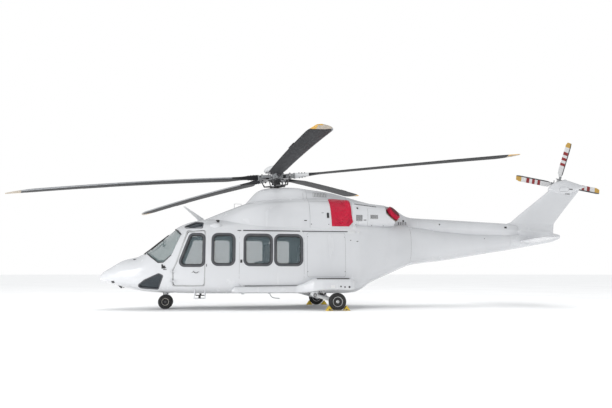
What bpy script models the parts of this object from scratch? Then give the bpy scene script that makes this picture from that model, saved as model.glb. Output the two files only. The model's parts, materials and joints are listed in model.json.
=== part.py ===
"""Twin-engined utility helicopter, parked on its wheels with its blades unfolded.

Metres, +Z up. The origin is on the ground in the plane of symmetry, straight below the
nose leg. The nose points towards -X, port is -Y.
"""
import math

import bmesh
import bpy
from mathutils import Matrix, Vector

TOUCH = 0.0003
WALL = 0.055
SKIN = 0.020
COWL_WALL = 0.030
DOOR_GAP = 0.008
PANE_DEPTH = 0.018
PANE_THICKNESS = 0.008
REBATE = 0.015

NOSE_TIP_X = -1.72
NOSE_JOINT_X = -0.75
CABIN_END_X = 4.76
TAIL_JOINT_X = 6.90
ROOF_SPLIT_Z = 2.115
FLOOR_Z = 0.62
FLOOR_START_X = 0.10
COWL_JOINT_1 = 3.80
COWL_JOINT_2 = 4.97
BOOM_HOLLOW_END_X = 11.20
BOOM_SPLIT_X = 9.945

HUB = Vector((2.967, 0.0, 3.666))
MAST_TILT = math.radians(5.55)
MAST_DOWN = Vector((math.sin(MAST_TILT), 0.0, -math.cos(MAST_TILT)))
MAST_OPENING_RADIUS = 0.215
MAIN_RADIUS = 6.90
MAIN_CHORD = 0.51
FIRST_BLADE = math.radians(-86.75)

TAIL_HUB = Vector((11.99, 0.38, 3.735))
TAIL_CHORD = 0.19

NOSE_WHEEL_RADIUS = 0.193
NOSE_TYRE_WIDTH = 0.105
NOSE_WHEEL_OFFSET = 0.115
MAIN_WHEEL = Vector((4.42, 1.515, 0.2285))
MAIN_TYRE_WIDTH = 0.15

# Fuselage sections: x, lowest z, highest z, half width, z of the widest line,
# and how square the lower and upper halves are (2 is an ellipse).
BODY = (
    (-1.720, 0.800, 0.885, 0.055, 0.843, 2.0, 2.0),
    (-1.660, 0.742, 0.966, 0.175, 0.850, 2.0, 2.0),
    (-1.450, 0.688, 1.104, 0.400, 0.860, 2.1, 2.0),
    (-1.100, 0.588, 1.305, 0.640, 0.900, 2.4, 2.1),
    (-0.750, 0.512, 1.392, 0.820, 0.950, 2.8, 2.2),
    (-0.540, 0.478, 1.515, 0.900, 0.985, 3.0, 2.2),
    (-0.200, 0.447, 1.790, 0.980, 1.050, 3.4, 2.3),
    (0.120, 0.438, 2.048, 1.040, 1.120, 3.8, 2.5),
    (0.333, 0.432, 2.215, 1.072, 1.180, 4.2, 2.8),
    (0.700, 0.425, 2.350, 1.108, 1.240, 4.6, 3.2),
    (1.100, 0.420, 2.410, 1.130, 1.300, 5.0, 3.6),
    (3.700, 0.412, 2.420, 1.130, 1.300, 5.0, 3.6),
    (4.760, 0.408, 2.420, 1.130, 1.300, 5.0, 3.6),
    (5.080, 0.430, 2.420, 1.120, 1.320, 4.4, 3.4),
    (5.600, 0.690, 2.400, 1.000, 1.480, 3.6, 3.2),
    (6.200, 0.935, 2.370, 0.820, 1.640, 3.0, 3.0),
    (6.900, 1.190, 2.330, 0.560, 1.780, 2.6, 2.8),
    (8.000, 1.335, 2.215, 0.425, 1.790, 2.4, 2.2),
    (9.200, 1.526, 2.150, 0.335, 1.870, 2.3, 2.1),
    (10.100, 1.665, 2.150, 0.262, 1.930, 2.2, 2.1),
    (10.900, 1.805, 2.180, 0.190, 2.010, 2.2, 2.1),
    (11.420, 1.900, 2.170, 0.110, 2.050, 2.0, 2.0),
    (11.690, 2.000, 2.120, 0.050, 2.070, 2.0, 2.0),
)
BODY_SIDES = 26
FLOOR_SQUARE = 14.0

# Upper works: x, highest z, half width, squareness. Each section stands on z 2.0.
COWL_LOW = (
    (1.000, 2.430, 0.500, 2.2),
    (1.400, 2.595, 0.720, 2.4),
    (1.750, 2.735, 0.840, 2.6),
    (2.150, 2.880, 0.920, 2.8),
    (2.700, 2.980, 0.970, 3.0),
    (3.800, 3.040, 0.985, 3.2),
    (4.400, 3.050, 0.985, 3.2),
    (5.100, 3.020, 0.955, 3.2),
)
COWL_HIGH = (
    (2.080, 2.840, 0.300, 2.2),
    (2.300, 3.100, 0.380, 2.4),
    (2.450, 3.245, 0.430, 2.6),
    (2.620, 3.315, 0.470, 2.8),
    (2.950, 3.362, 0.500, 3.0),
    (3.450, 3.374, 0.500, 3.0),
    (3.870, 3.330, 0.480, 3.0),
    (4.500, 3.255, 0.440, 2.8),
    (5.000, 3.140, 0.380, 2.6),
    (5.500, 3.010, 0.320, 2.5),
    (5.900, 2.930, 0.280, 2.5),
    (6.320, 2.880, 0.250, 2.5),
)
COWL_BASE_Z = 2.0

# Engine nacelles on the deck: x, height of the middle, half height, offset from the middle
# plane, half width.
NACELLE = (
    (4.800, 2.545, 0.440, 0.520, 0.435),
    (5.400, 2.535, 0.375, 0.520, 0.410),
    (5.900, 2.535, 0.325, 0.510, 0.380),
    (6.250, 2.535, 0.290, 0.500, 0.345),
)
EXHAUST_CENTRE = Vector((6.146, 0.609, 2.540))
EXHAUST_AXIS = Vector((0.58, 0.50, 0.64)).normalized()
EXHAUST_LIP = 0.07
EXHAUST_COVER_DEPTH = 0.14
EXHAUST_RADIUS = 0.212

# Drive shaft cover on the boom: x, highest z, half width at the edge, z of the edge,
# z of the foot.
SHAFT_COVER = (
    (6.300, 2.900, 0.300, 2.300, 2.100),
    (6.500, 2.760, 0.300, 2.290, 2.100),
    (6.730, 2.610, 0.300, 2.280, 2.100),
    (6.900, 2.556, 0.385, 2.260, 2.130),
    (8.000, 2.512, 0.355, 2.245, 2.090),
    (9.000, 2.470, 0.320, 2.232, 2.040),
    (9.940, 2.428, 0.270, 2.205, 2.010),
)
SHAFT_COVER_END_X = 9.93

# Fin sections: z, x of the leading edge, x of the trailing edge, half thickness.
FIN = (
    (1.980, 10.350, 11.470, 0.110),
    (2.200, 10.020, 11.500, 0.130),
    (2.430, 9.960, 11.530, 0.130),
    (2.480, 10.120, 11.553, 0.128),
    (2.730, 10.430, 11.760, 0.115),
    (3.140, 10.980, 12.120, 0.100),
    (3.450, 11.385, 12.400, 0.092),
    (3.600, 11.560, 12.480, 0.088),
)
# Tail gearbox fairing: x, z of the middle, half height, half width.
GEARBOX_FAIRING = (
    (11.400, 3.500, 0.020, 0.020),
    (11.480, 3.520, 0.110, 0.105),
    (11.700, 3.560, 0.195, 0.180),
    (11.960, 3.585, 0.225, 0.205),
    (12.250, 3.600, 0.150, 0.155),
    (12.500, 3.620, 0.060, 0.070),
    (12.650, 3.628, 0.018, 0.020),
)
# Stabiliser half: y, x of the leading edge, x of the trailing edge, z, half thickness.
STABILISER = (
    (0.100, 10.300, 11.050, 1.900, 0.055),
    (2.020, 9.990, 10.450, 1.925, 0.028),
)
# Sponson and its forward strake: x, lowest z, highest z, outer y.
SPONSON = (
    (1.720, 0.470, 0.520, 1.155),
    (1.800, 0.448, 0.610, 1.190),
    (3.400, 0.440, 0.625, 1.220),
    (3.600, 0.440, 0.700, 1.330),
    (3.800, 0.465, 0.810, 1.530),
    (4.000, 0.500, 0.840, 1.600),
    (4.760, 0.500, 0.832, 1.600),
    (4.880, 0.515, 0.810, 1.540),
)
SPONSON_INNER_Y = 0.70

# Outlines in the side view, x and z, with the radius of their corners.
COCKPIT_DOOR = (((0.215, 0.62), (1.045, 0.62), (1.045, 2.05), (0.560, 2.05), (0.310, 1.26), (0.215, 1.04)),
                0.05)
COCKPIT_GLASS = (((0.385, 1.165), (0.990, 1.165), (0.990, 1.945), (0.670, 1.945)), 0.09)
FRONT_WINDOW = (((1.240, 1.192), (1.762, 1.192), (1.762, 1.950), (1.240, 1.950)), 0.12)
SLIDING_DOOR = (((1.913, 0.635), (3.615, 0.635), (3.615, 2.085), (1.913, 2.085)), 0.05)
MIDDLE_WINDOW = (((2.065, 1.187), (2.738, 1.187), (2.738, 1.942), (2.065, 1.942)), 0.12)
REAR_WINDOW = (((2.864, 1.187), (3.542, 1.187), (3.542, 1.940), (2.864, 1.940)), 0.12)
DOOR_PANE = (((2.065, 1.187), (3.542, 1.187), (3.542, 1.942), (2.065, 1.942)), 0.12)
WINDSHIELD = (((-0.470, 1.465), (-0.150, 1.225), (-0.020, 1.235), (0.200, 1.450), (0.405, 1.945),
               (0.330, 2.045), (0.235, 2.100), (-0.050, 2.350), (-0.900, 1.900)), 0.0)
EYEBROW = (((0.400, 2.140), (0.940, 2.140), (0.960, 2.262), (0.780, 2.290)), 0.02)
CHIN_WINDOW = (((-0.660, 0.630), (-0.480, 0.775), (-0.130, 0.935), (-0.030, 0.890), (-0.150, 0.560),
                (-0.560, 0.590)), 0.03)

HINGE_X = 0.200
HINGE_Y = 1.078
HINGE_HEIGHTS = (0.76, 1.00)
HINGE_RADIUS = 0.015
HINGE_LENGTH = 0.09

# Main blades: lag in degrees and droop of the tip in metres, from the near one aft and round.
BLADES = ((-1.42, 0.177), (4.75, 0.055), (0.73, 0.100), (0.42, 0.211), (-3.16, 0.217))
# One main blade: radius, share of the full chord, share of the full thickness, sweep aft, and
# how far the leading edge lies ahead of the blade's axis as a share of the chord.
BLADE_STATIONS = (
    (0.5603, 0.17, 2.9, 0.00, 0.50),
    (0.78, 0.19, 2.4, 0.00, 0.50),
    (1.05, 0.62, 1.5, 0.00, 0.28),
    (1.35, 1.00, 1.0, 0.00, 0.255),
    (4.00, 1.00, 1.0, 0.00, 0.255),
    (6.30, 1.00, 1.0, 0.00, 0.255),
    (6.50, 0.88, 0.8, 0.03, 0.255),
    (6.72, 0.62, 0.6, 0.10, 0.255),
    (6.90, 0.26, 0.4, 0.22, 0.255),
)
BLADE_THICKNESS = 0.052
PITCH_AT_ROOT = math.radians(5.55)
PITCH_AT_TIP = math.radians(-1.35)
# Dome on the rotor head: height above the hub's middle, radius.
CAP_PROFILE = ((0.1553, 0.30), (0.20, 0.31), (0.26, 0.275), (0.32, 0.18), (0.345, 0.06))

# Tail blades: the way each points, in degrees from aft over the top.
TAIL_BLADES = (69.5, 170.9, 249.5, 350.6)
# One tail blade: radius, share of the full chord, share of the full thickness.
TAIL_STATIONS = (
    (0.2603, 0.40, 1.9),
    (0.42, 0.80, 1.2),
    (0.55, 1.00, 1.0),
    (1.33, 1.00, 0.9),
    (1.43, 0.72, 0.5),
)
TAIL_THICKNESS = 0.026

INTAKE_COVER = (((4.400, 2.255), (4.880, 2.215), (4.968, 2.345), (4.955, 2.520), (4.940, 3.020),
                 (4.640, 3.045), (4.440, 2.985)), 0.0)

SEAT_ROWS = (2.30, 3.30)

# Wheel chocks: which way from the wheel's axle, and how far off their inner edge, top and
# outer edge are.
CHOCKS = ((-1, 0.122, 0.222, 0.309), (1, 0.140, 0.240, 0.330))
CHOCK_HEIGHT = 0.130

for old in list(bpy.data.objects):
    bpy.data.objects.remove(old, do_unlink=True)


def new_collection(name):
    made = bpy.data.collections.new(name)
    bpy.context.scene.collection.children.link(made)
    return made


PARTS = new_collection("helicopter")
CUTTERS = new_collection("cutters")


def paint(name, colour, roughness, metallic=0.0):
    made = bpy.data.materials.new(name)
    made.use_nodes = True
    shader = made.node_tree.nodes["Principled BSDF"]
    shader.inputs["Base Color"].default_value = (*colour, 1.0)
    shader.inputs["Roughness"].default_value = roughness
    shader.inputs["Metallic"].default_value = metallic
    return made


WHITE = paint("white_paint", (0.80, 0.81, 0.82), 0.30)
GLASS = paint("tinted_glass", (0.10, 0.12, 0.14), 0.08)
BLADE_GREY = paint("blade_grey", (0.05, 0.052, 0.055), 0.5)
STEEL = paint("machined_steel", (0.45, 0.45, 0.46), 0.35, 1.0)
RUBBER = paint("tyre_rubber", (0.02, 0.02, 0.02), 0.8)
RED_CLOTH = paint("red_cover_cloth", (0.55, 0.02, 0.06), 0.55)
SEAT_CLOTH = paint("seat_grey", (0.22, 0.22, 0.23), 0.8)
PANEL_BLACK = paint("panel_black", (0.03, 0.03, 0.035), 0.6)
YELLOW = paint("chock_yellow", (0.75, 0.50, 0.03), 0.5)
BANDED = paint("tail_blade_white", (0.75, 0.75, 0.75), 0.4)


def object_from(bm, name, material, collection=CUTTERS):
    """Make an object of a bmesh; what is in the cutters' collection is hidden from renders."""
    bmesh.ops.recalc_face_normals(bm, faces=bm.faces)
    mesh = bpy.data.meshes.new(name)
    bm.to_mesh(mesh)
    bm.free()
    mesh.materials.append(material)
    made = bpy.data.objects.new(name, mesh)
    collection.objects.link(made)
    if collection is CUTTERS:
        made.hide_render = True
        made.display_type = "WIRE"
    return made


def combine(base, other, operation):
    """Apply one Boolean to the base and remove the other object."""
    modifier = base.modifiers.new("combine", "BOOLEAN")
    modifier.operation = operation
    modifier.object = other
    bpy.context.view_layer.update()
    depsgraph = bpy.context.evaluated_depsgraph_get()
    result = bpy.data.meshes.new_from_object(base.evaluated_get(depsgraph))
    base.modifiers.clear()
    base.data = result
    bpy.data.objects.remove(other, do_unlink=True)
    return base


def copy_of(source):
    made = source.copy()
    made.data = source.data.copy()
    CUTTERS.objects.link(made)
    return made


def weld(mesh, distance=0.00002):
    """Merge the points that Booleans leave side by side."""
    bm = bmesh.new()
    bm.from_mesh(mesh)
    bmesh.ops.remove_doubles(bm, verts=bm.verts, dist=distance)
    bmesh.ops.dissolve_degenerate(bm, edges=bm.edges, dist=distance)
    bm.to_mesh(mesh)
    bmesh.ops.dissolve_limit(bm, angle_limit=math.radians(0.01), verts=bm.verts, edges=bm.edges)
    bmesh.ops.triangulate(bm, faces=[face for face in bm.faces if len(face.verts) > 4])
    if all(edge.is_manifold for edge in bm.edges):
        bm.to_mesh(mesh)
    bm.free()


def as_part(piece, name, material, parent=None):
    """Put a finished solid in the helicopter's collection under its node's name."""
    weld(piece.data)
    CUTTERS.objects.unlink(piece)
    PARTS.objects.link(piece)
    piece.name = name
    piece.data.name = name
    piece.data.materials.clear()
    piece.data.materials.append(material)
    piece.hide_render = False
    piece.display_type = "TEXTURED"
    piece.data.shade_smooth()
    piece.data.set_sharp_from_angle(angle=math.radians(32))
    if parent is not None:
        piece.data.transform(parent.matrix_world.inverted() @ piece.matrix_world)
        piece.matrix_world = Matrix.Identity(4)
        piece.parent = parent
    return piece


def axis_empty(name, place, rotation=(0.0, 0.0, 0.0)):
    made = bpy.data.objects.new(name, None)
    made.location = place
    made.rotation_euler = rotation
    PARTS.objects.link(made)
    bpy.context.view_layer.update()
    return made


def signed_power(value, power):
    return math.copysign(abs(value) ** power, value)


def loft(rings, name="loft"):
    """Close a row of rings, which have as many points each, into one solid."""
    bm = bmesh.new()
    rows = [[bm.verts.new(point) for point in ring] for ring in rings]
    count = len(rows[0])
    for row, following in zip(rows, rows[1:]):
        for i in range(count):
            j = (i + 1) % count
            bm.faces.new((row[i], row[j], following[j]))
            bm.faces.new((row[i], following[j], following[i]))
    bm.faces.new(rows[0])
    bm.faces.new(rows[-1])
    return object_from(bm, name, WHITE)


def body_section(x, low, high, half, waist, square_low, square_high, inset=0.0, count=BODY_SIDES):
    ring = []
    for i in range(count):
        turn = 2.0 * math.pi * (i + 0.5) / count
        square = square_high if math.sin(turn) > 0.0 else square_low
        reach = (high - inset - waist) if math.sin(turn) > 0.0 else (waist - low - inset)
        y = (half - inset) * signed_power(math.cos(turn), 2.0 / square)
        z = waist + reach * signed_power(math.sin(turn), 2.0 / square)
        ring.append((x, y, z))
    return ring


def body_at(x):
    """Values of the fuselage table at any x."""
    for before, after in zip(BODY, BODY[1:]):
        if before[0] <= x <= after[0]:
            share = (x - before[0]) / (after[0] - before[0])
            return tuple(a + (b - a) * share for a, b in zip(before, after))
    raise ValueError(x)


def body_loft(inset=0.0, start=NOSE_TIP_X, end=BODY[-1][0], floor=None):
    """The fuselage between two x values; a negative inset makes it larger."""
    stations = [row for row in BODY if start < row[0] < end]
    stations = [body_at(start)] + stations + [body_at(end)]
    rings = []
    for row in stations:
        x, low, high, half, waist, square_low, square_high = row
        if floor is not None and x > FLOOR_START_X:
            low = floor - inset
            square_low = FLOOR_SQUARE
        rings.append(body_section(x, low, high, half, waist, square_low, square_high, inset))
    return loft(rings)


def rounded(points, radius, steps=3):
    """The outline with each corner replaced by an arc."""
    if radius <= 0.0:
        return list(points)
    result = []
    count = len(points)
    for i in range(count):
        here = Vector(points[i])
        back = (Vector(points[i - 1]) - here).normalized()
        ahead = (Vector(points[(i + 1) % count]) - here).normalized()
        half_angle = back.angle(ahead) / 2.0
        reach = radius / math.tan(half_angle)
        middle = here + (back + ahead).normalized() * radius / math.sin(half_angle)
        first = here + back * reach - middle
        last = here + ahead * reach - middle
        sweep = first.angle_signed(last)
        for k in range(steps + 1):
            angle = -sweep * k / steps
            turned = Matrix.Rotation(angle, 2) @ first
            result.append(tuple(middle + turned))
    return result


def grown(points, amount):
    """The outline moved outwards by an amount, or inwards if it is negative."""
    count = len(points)
    area = sum(points[i - 1][0] * points[i][1] - points[i][0] * points[i - 1][1] for i in range(count))
    side = 1.0 if area > 0.0 else -1.0
    result = []
    for i in range(count):
        here = Vector(points[i])
        before = (here - Vector(points[i - 1])).normalized()
        after = (Vector(points[(i + 1) % count]) - here).normalized()
        normal_1 = Vector((before.y, -before.x)) * side
        normal_2 = Vector((after.y, -after.x)) * side
        bisector = (normal_1 + normal_2).normalized()
        result.append(tuple(here + bisector * amount / max(0.3, bisector.dot(normal_1))))
    return result


def prism(outline, y_start, y_end, grow=0.0, far_grow=0.0):
    """A side-view outline stretched from one y to another, where it may be smaller."""
    points, radius = outline
    near = rounded(grown(points, grow), radius + min(grow, 0.0) if radius > 0.0 else 0.0)
    far = rounded(grown(points, grow + far_grow), radius if radius > 0.0 else 0.0)
    return loft([[(x, y_start, z) for x, z in near], [(x, y_end, z) for x, z in far]])


def box(x0, x1, y0, y1, z0, z1):
    bm = bmesh.new()
    size = Matrix.Diagonal((x1 - x0, y1 - y0, z1 - z0, 1.0))
    place = Matrix.Translation(((x0 + x1) / 2.0, (y0 + y1) / 2.0, (z0 + z1) / 2.0))
    bmesh.ops.create_cube(bm, size=1.0, matrix=place @ size)
    return object_from(bm, "box", WHITE)


def rod(start, end, radius, radius_end=None, sides=18):
    """A cylinder or cone between two points."""
    start = Vector(start)
    end = Vector(end)
    along = end - start
    bm = bmesh.new()
    turn = along.to_track_quat("Z", "Y").to_matrix().to_4x4()
    bmesh.ops.create_cone(
        bm, cap_ends=True, segments=sides, radius1=radius,
        radius2=radius if radius_end is None else radius_end, depth=along.length,
        matrix=Matrix.Translation((start + end) / 2.0) @ turn)
    return object_from(bm, "rod", WHITE)


def united(pieces):
    base = pieces[0]
    for piece in pieces[1:]:
        combine(base, piece, "UNION")
    return base


def turned(profile, centre, steps=24):
    """A solid turned about a line along Y, from (along the line, radius) points."""
    rings = []
    for along, radius in profile:
        ring = []
        for i in range(steps):
            turn = 2.0 * math.pi * i / steps
            ring.append((centre[0] + radius * math.cos(turn), centre[1] + along,
                         centre[2] + radius * math.sin(turn)))
        rings.append(ring)
    return loft(rings)


def upper_section(x, top, half, square, inset=0.0, count=16, base=COWL_BASE_Z):
    """A section of the upper works, standing on a flat base."""
    ring = []
    for i in range(count + 1):
        turn = math.pi * i / count
        y = (half - inset) * signed_power(math.cos(turn), 2.0 / square)
        z = base + (top - inset - base) * signed_power(math.sin(turn), 2.0 / square)
        ring.append((x, y, z))
    return ring


def table_at(table, x):
    for before, after in zip(table, table[1:]):
        if before[0] <= x <= after[0]:
            share = (x - before[0]) / (after[0] - before[0])
            return tuple(a + (b - a) * share for a, b in zip(before, after))
    raise ValueError(x)


def upper_loft(table, inset, start, end, base=COWL_BASE_Z):
    rows = [table_at(table, start)] + [r for r in table if start < r[0] < end] + [table_at(table, end)]
    return loft([upper_section(*row, inset=inset, base=base) for row in rows])


def nacelle_loft(side, inset, start, end):
    between = [row for row in NACELLE if start < row[0] < end]
    rows = [table_at(NACELLE, start)] + between + [table_at(NACELLE, end)]
    rings = []
    for x, middle, half_height, offset, half_width in rows:
        ring = []
        for i in range(18):
            turn = 2.0 * math.pi * i / 18
            ring.append((x, side * offset + (half_width - inset) * signed_power(math.cos(turn), 0.8),
                         middle + (half_height - inset) * signed_power(math.sin(turn), 0.8)))
        rings.append(ring)
    return loft(rings)


def shaft_cover_loft(inset, start, end):
    rows = [table_at(SHAFT_COVER, start)]
    rows += [r for r in SHAFT_COVER if start < r[0] < end]
    rows.append(table_at(SHAFT_COVER, end))
    rings = []
    for x, top, half, edge, foot in rows:
        ring = [(x, half * 0.70 - inset, foot + inset), (x, half - inset, edge)]
        for i in range(1, 8):
            turn = math.pi * i / 8
            ring.append((x, (half - inset) * signed_power(math.cos(turn), 0.6),
                         edge + (top - inset - edge) * signed_power(math.sin(turn), 0.6)))
        ring += [(x, inset - half, edge), (x, inset - half * 0.70, foot + inset)]
        rings.append(ring)
    return loft(rings)


def airfoil(chord, half_thickness, count=12):
    """Points of a symmetric airfoil, from the trailing edge over the top and back."""
    result = []
    for i in range(count):
        turn = 2.0 * math.pi * i / count
        along = chord * (0.5 + 0.5 * math.cos(turn))
        fullness = math.sin(turn) * (1.0 - 0.45 * math.cos(turn))
        result.append((along, half_thickness * fullness))
    return result


def interior(gap=0.0):
    """The hollow of the cockpit and cabin, or a form that stays clear of its walls."""
    depth = WALL + gap
    return body_loft(depth, NOSE_JOINT_X + depth, CABIN_END_X - depth, FLOOR_Z + gap)


def inner_layer(outline, y_start, y_end):
    """What an outline cuts of the wall behind the depth at which the panes lie."""
    behind = body_loft(PANE_DEPTH, NOSE_JOINT_X + PANE_DEPTH, CABIN_END_X)
    return combine(prism(outline, y_start, y_end, grow=REBATE), behind, "INTERSECT")


def build_fuselage():
    """Nose, cabin, roof, rear fuselage and boom, all cut from one form."""
    nose = body_loft(0.0, NOSE_TIP_X, NOSE_JOINT_X - TOUCH)
    as_part(nose, "nose_shell", WHITE)

    cabin = body_loft(0.0, NOSE_JOINT_X, CABIN_END_X)
    combine(cabin, interior(), "DIFFERENCE")
    door_skin = copy_of(cabin)
    combine(cabin, inner_layer(WINDSHIELD, -1.6, 1.6), "DIFFERENCE")
    for side in (-1, 1):
        y1 = side * 1.6
        combine(cabin, prism(WINDSHIELD, side * 0.03, y1), "DIFFERENCE")
        for outline in (COCKPIT_DOOR, SLIDING_DOOR, FRONT_WINDOW, CHIN_WINDOW, EYEBROW):
            combine(cabin, prism(outline, side * 0.25, y1), "DIFFERENCE")
    roof = copy_of(cabin)
    combine(cabin, box(-2.0, 6.0, -2.0, 2.0, ROOF_SPLIT_Z, 3.0), "DIFFERENCE")
    combine(roof, box(-2.0, 6.0, -2.0, 2.0, 0.0, ROOF_SPLIT_Z + TOUCH), "DIFFERENCE")
    as_part(roof, "cabin_roof", WHITE)

    rear = body_loft(0.0, CABIN_END_X + TOUCH, TAIL_JOINT_X - TOUCH)
    combine(rear, body_loft(SKIN, CABIN_END_X + 0.05, TAIL_JOINT_X + 0.1), "DIFFERENCE")
    as_part(rear, "rear_fuselage", WHITE)
    boom = body_loft(0.0, TAIL_JOINT_X, BODY[-1][0])
    combine(boom, body_loft(SKIN, TAIL_JOINT_X - 0.1, BOOM_HOLLOW_END_X), "DIFFERENCE")
    return cabin, door_skin, boom


def glass_skin():
    """A thin curved sheet just inside the fuselage's surface, which the panes are cut from."""
    depth = PANE_DEPTH + TOUCH
    outer = body_loft(depth, NOSE_JOINT_X + PANE_DEPTH, CABIN_END_X - 0.03)
    depth += PANE_THICKNESS
    return combine(outer, body_loft(depth, NOSE_JOINT_X + PANE_DEPTH, CABIN_END_X - 0.04), "DIFFERENCE")


def build_glass(skin, door_axes):
    panes = (
        ("eyebrow_window", EYEBROW, -TOUCH, None),
        ("chin_window", CHIN_WINDOW, -TOUCH, None),
        ("cockpit_door_glass", COCKPIT_GLASS, -TOUCH, "door"),
        ("cabin_window", FRONT_WINDOW, -TOUCH, None),
        ("sliding_door_glass", DOOR_PANE, REBATE - TOUCH, None),
    )
    windshield = combine(copy_of(skin), prism(WINDSHIELD, -1.6, 1.6, grow=REBATE - TOUCH), "INTERSECT")
    as_part(windshield, "windshield", GLASS)
    for word, side in (("left", -1), ("right", 1)):
        for name, outline, grow, owner in panes:
            pane = combine(copy_of(skin), prism(outline, side * 0.25, side * 1.6, grow=grow), "INTERSECT")
            parent = door_axes[side] if owner == "door" else None
            as_part(pane, f"{name}_{word}", GLASS, parent)
    bpy.data.objects.remove(skin, do_unlink=True)


def build_doors(cabin, door_skin):
    """Cockpit doors on their hinges, the sliding doors in their openings, and the boarding steps."""
    door_axes = {}
    for word, side in (("left", -1), ("right", 1)):
        pin = (HINGE_X, side * HINGE_Y)
        door_axes[side] = axis_empty(f"axis_cockpit_door_{word}", (*pin, HINGE_HEIGHTS[0]))
        door = copy_of(door_skin)
        tapered = prism(COCKPIT_DOOR, side * 1.3, side * 0.8, grow=-DOOR_GAP, far_grow=-0.05)
        combine(door, tapered, "INTERSECT")
        combine(door, prism(COCKPIT_GLASS, side * 0.25, side * 1.6), "DIFFERENCE")
        for height in HINGE_HEIGHTS:
            half = HINGE_LENGTH / 6.0
            knuckle = rod((*pin, height - half), (*pin, height + half), HINGE_RADIUS, sides=12)
            leaf = box(HINGE_X, HINGE_X + 0.085, side * (HINGE_Y - 0.025), side * (HINGE_Y - 0.001),
                       height - half, height + half)
            root = box(HINGE_X + 0.040, HINGE_X + 0.090, side * (HINGE_Y - 0.070), side * (HINGE_Y - 0.010),
                       height - half * 0.9, height + half * 0.9)
            combine(door, united([knuckle, leaf, root]), "UNION")
            for end in (-1, 1):
                z0 = height + end * (half + TOUCH)
                z1 = height + end * 3.0 * half
                knuckle = rod((*pin, min(z0, z1)), (*pin, max(z0, z1)), HINGE_RADIUS, sides=12)
                leaf = box(HINGE_X - 0.055, HINGE_X, side * (HINGE_Y - 0.060), side * (HINGE_Y - 0.001),
                           min(z0, z1), max(z0, z1))
                combine(cabin, united([knuckle, leaf]), "UNION")
        as_part(door, f"cockpit_door_{word}", WHITE, door_axes[side])

        sliding = copy_of(door_skin)
        combine(sliding, prism(SLIDING_DOOR, side * 0.25, side * 1.6, grow=-TOUCH), "INTERSECT")
        for outline in (MIDDLE_WINDOW, REAR_WINDOW):
            combine(sliding, prism(outline, side * 0.25, side * 1.6), "DIFFERENCE")
        combine(sliding, inner_layer(DOOR_PANE, side * 0.25, side * 1.6), "DIFFERENCE")
        as_part(sliding, f"sliding_door_{word}", WHITE)
        y = side * 1.02
        step = united([rod((0.76, y, 0.325), (1.07, y, 0.325), 0.014, sides=8),
                       rod((0.775, y, 0.325), (0.79, side * 0.93, 0.585), 0.014, sides=8),
                       rod((1.055, y, 0.325), (1.04, side * 0.93, 0.585), 0.014, sides=8)])
        combine(cabin, step, "UNION")
    bpy.data.objects.remove(door_skin, do_unlink=True)
    as_part(cabin, "cabin_shell", WHITE)
    return door_axes


def cowl_solid(inset, low_start, high_start, end):
    lower = upper_loft(COWL_LOW, inset, low_start, min(end, COWL_LOW[-1][0]))
    return combine(lower, upper_loft(COWL_HIGH, inset, high_start, end), "UNION")


def cut_by_x(piece, start, end):
    return combine(piece, box(start, end, -3.0, 3.0, 0.0, 5.0), "INTERSECT")


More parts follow.
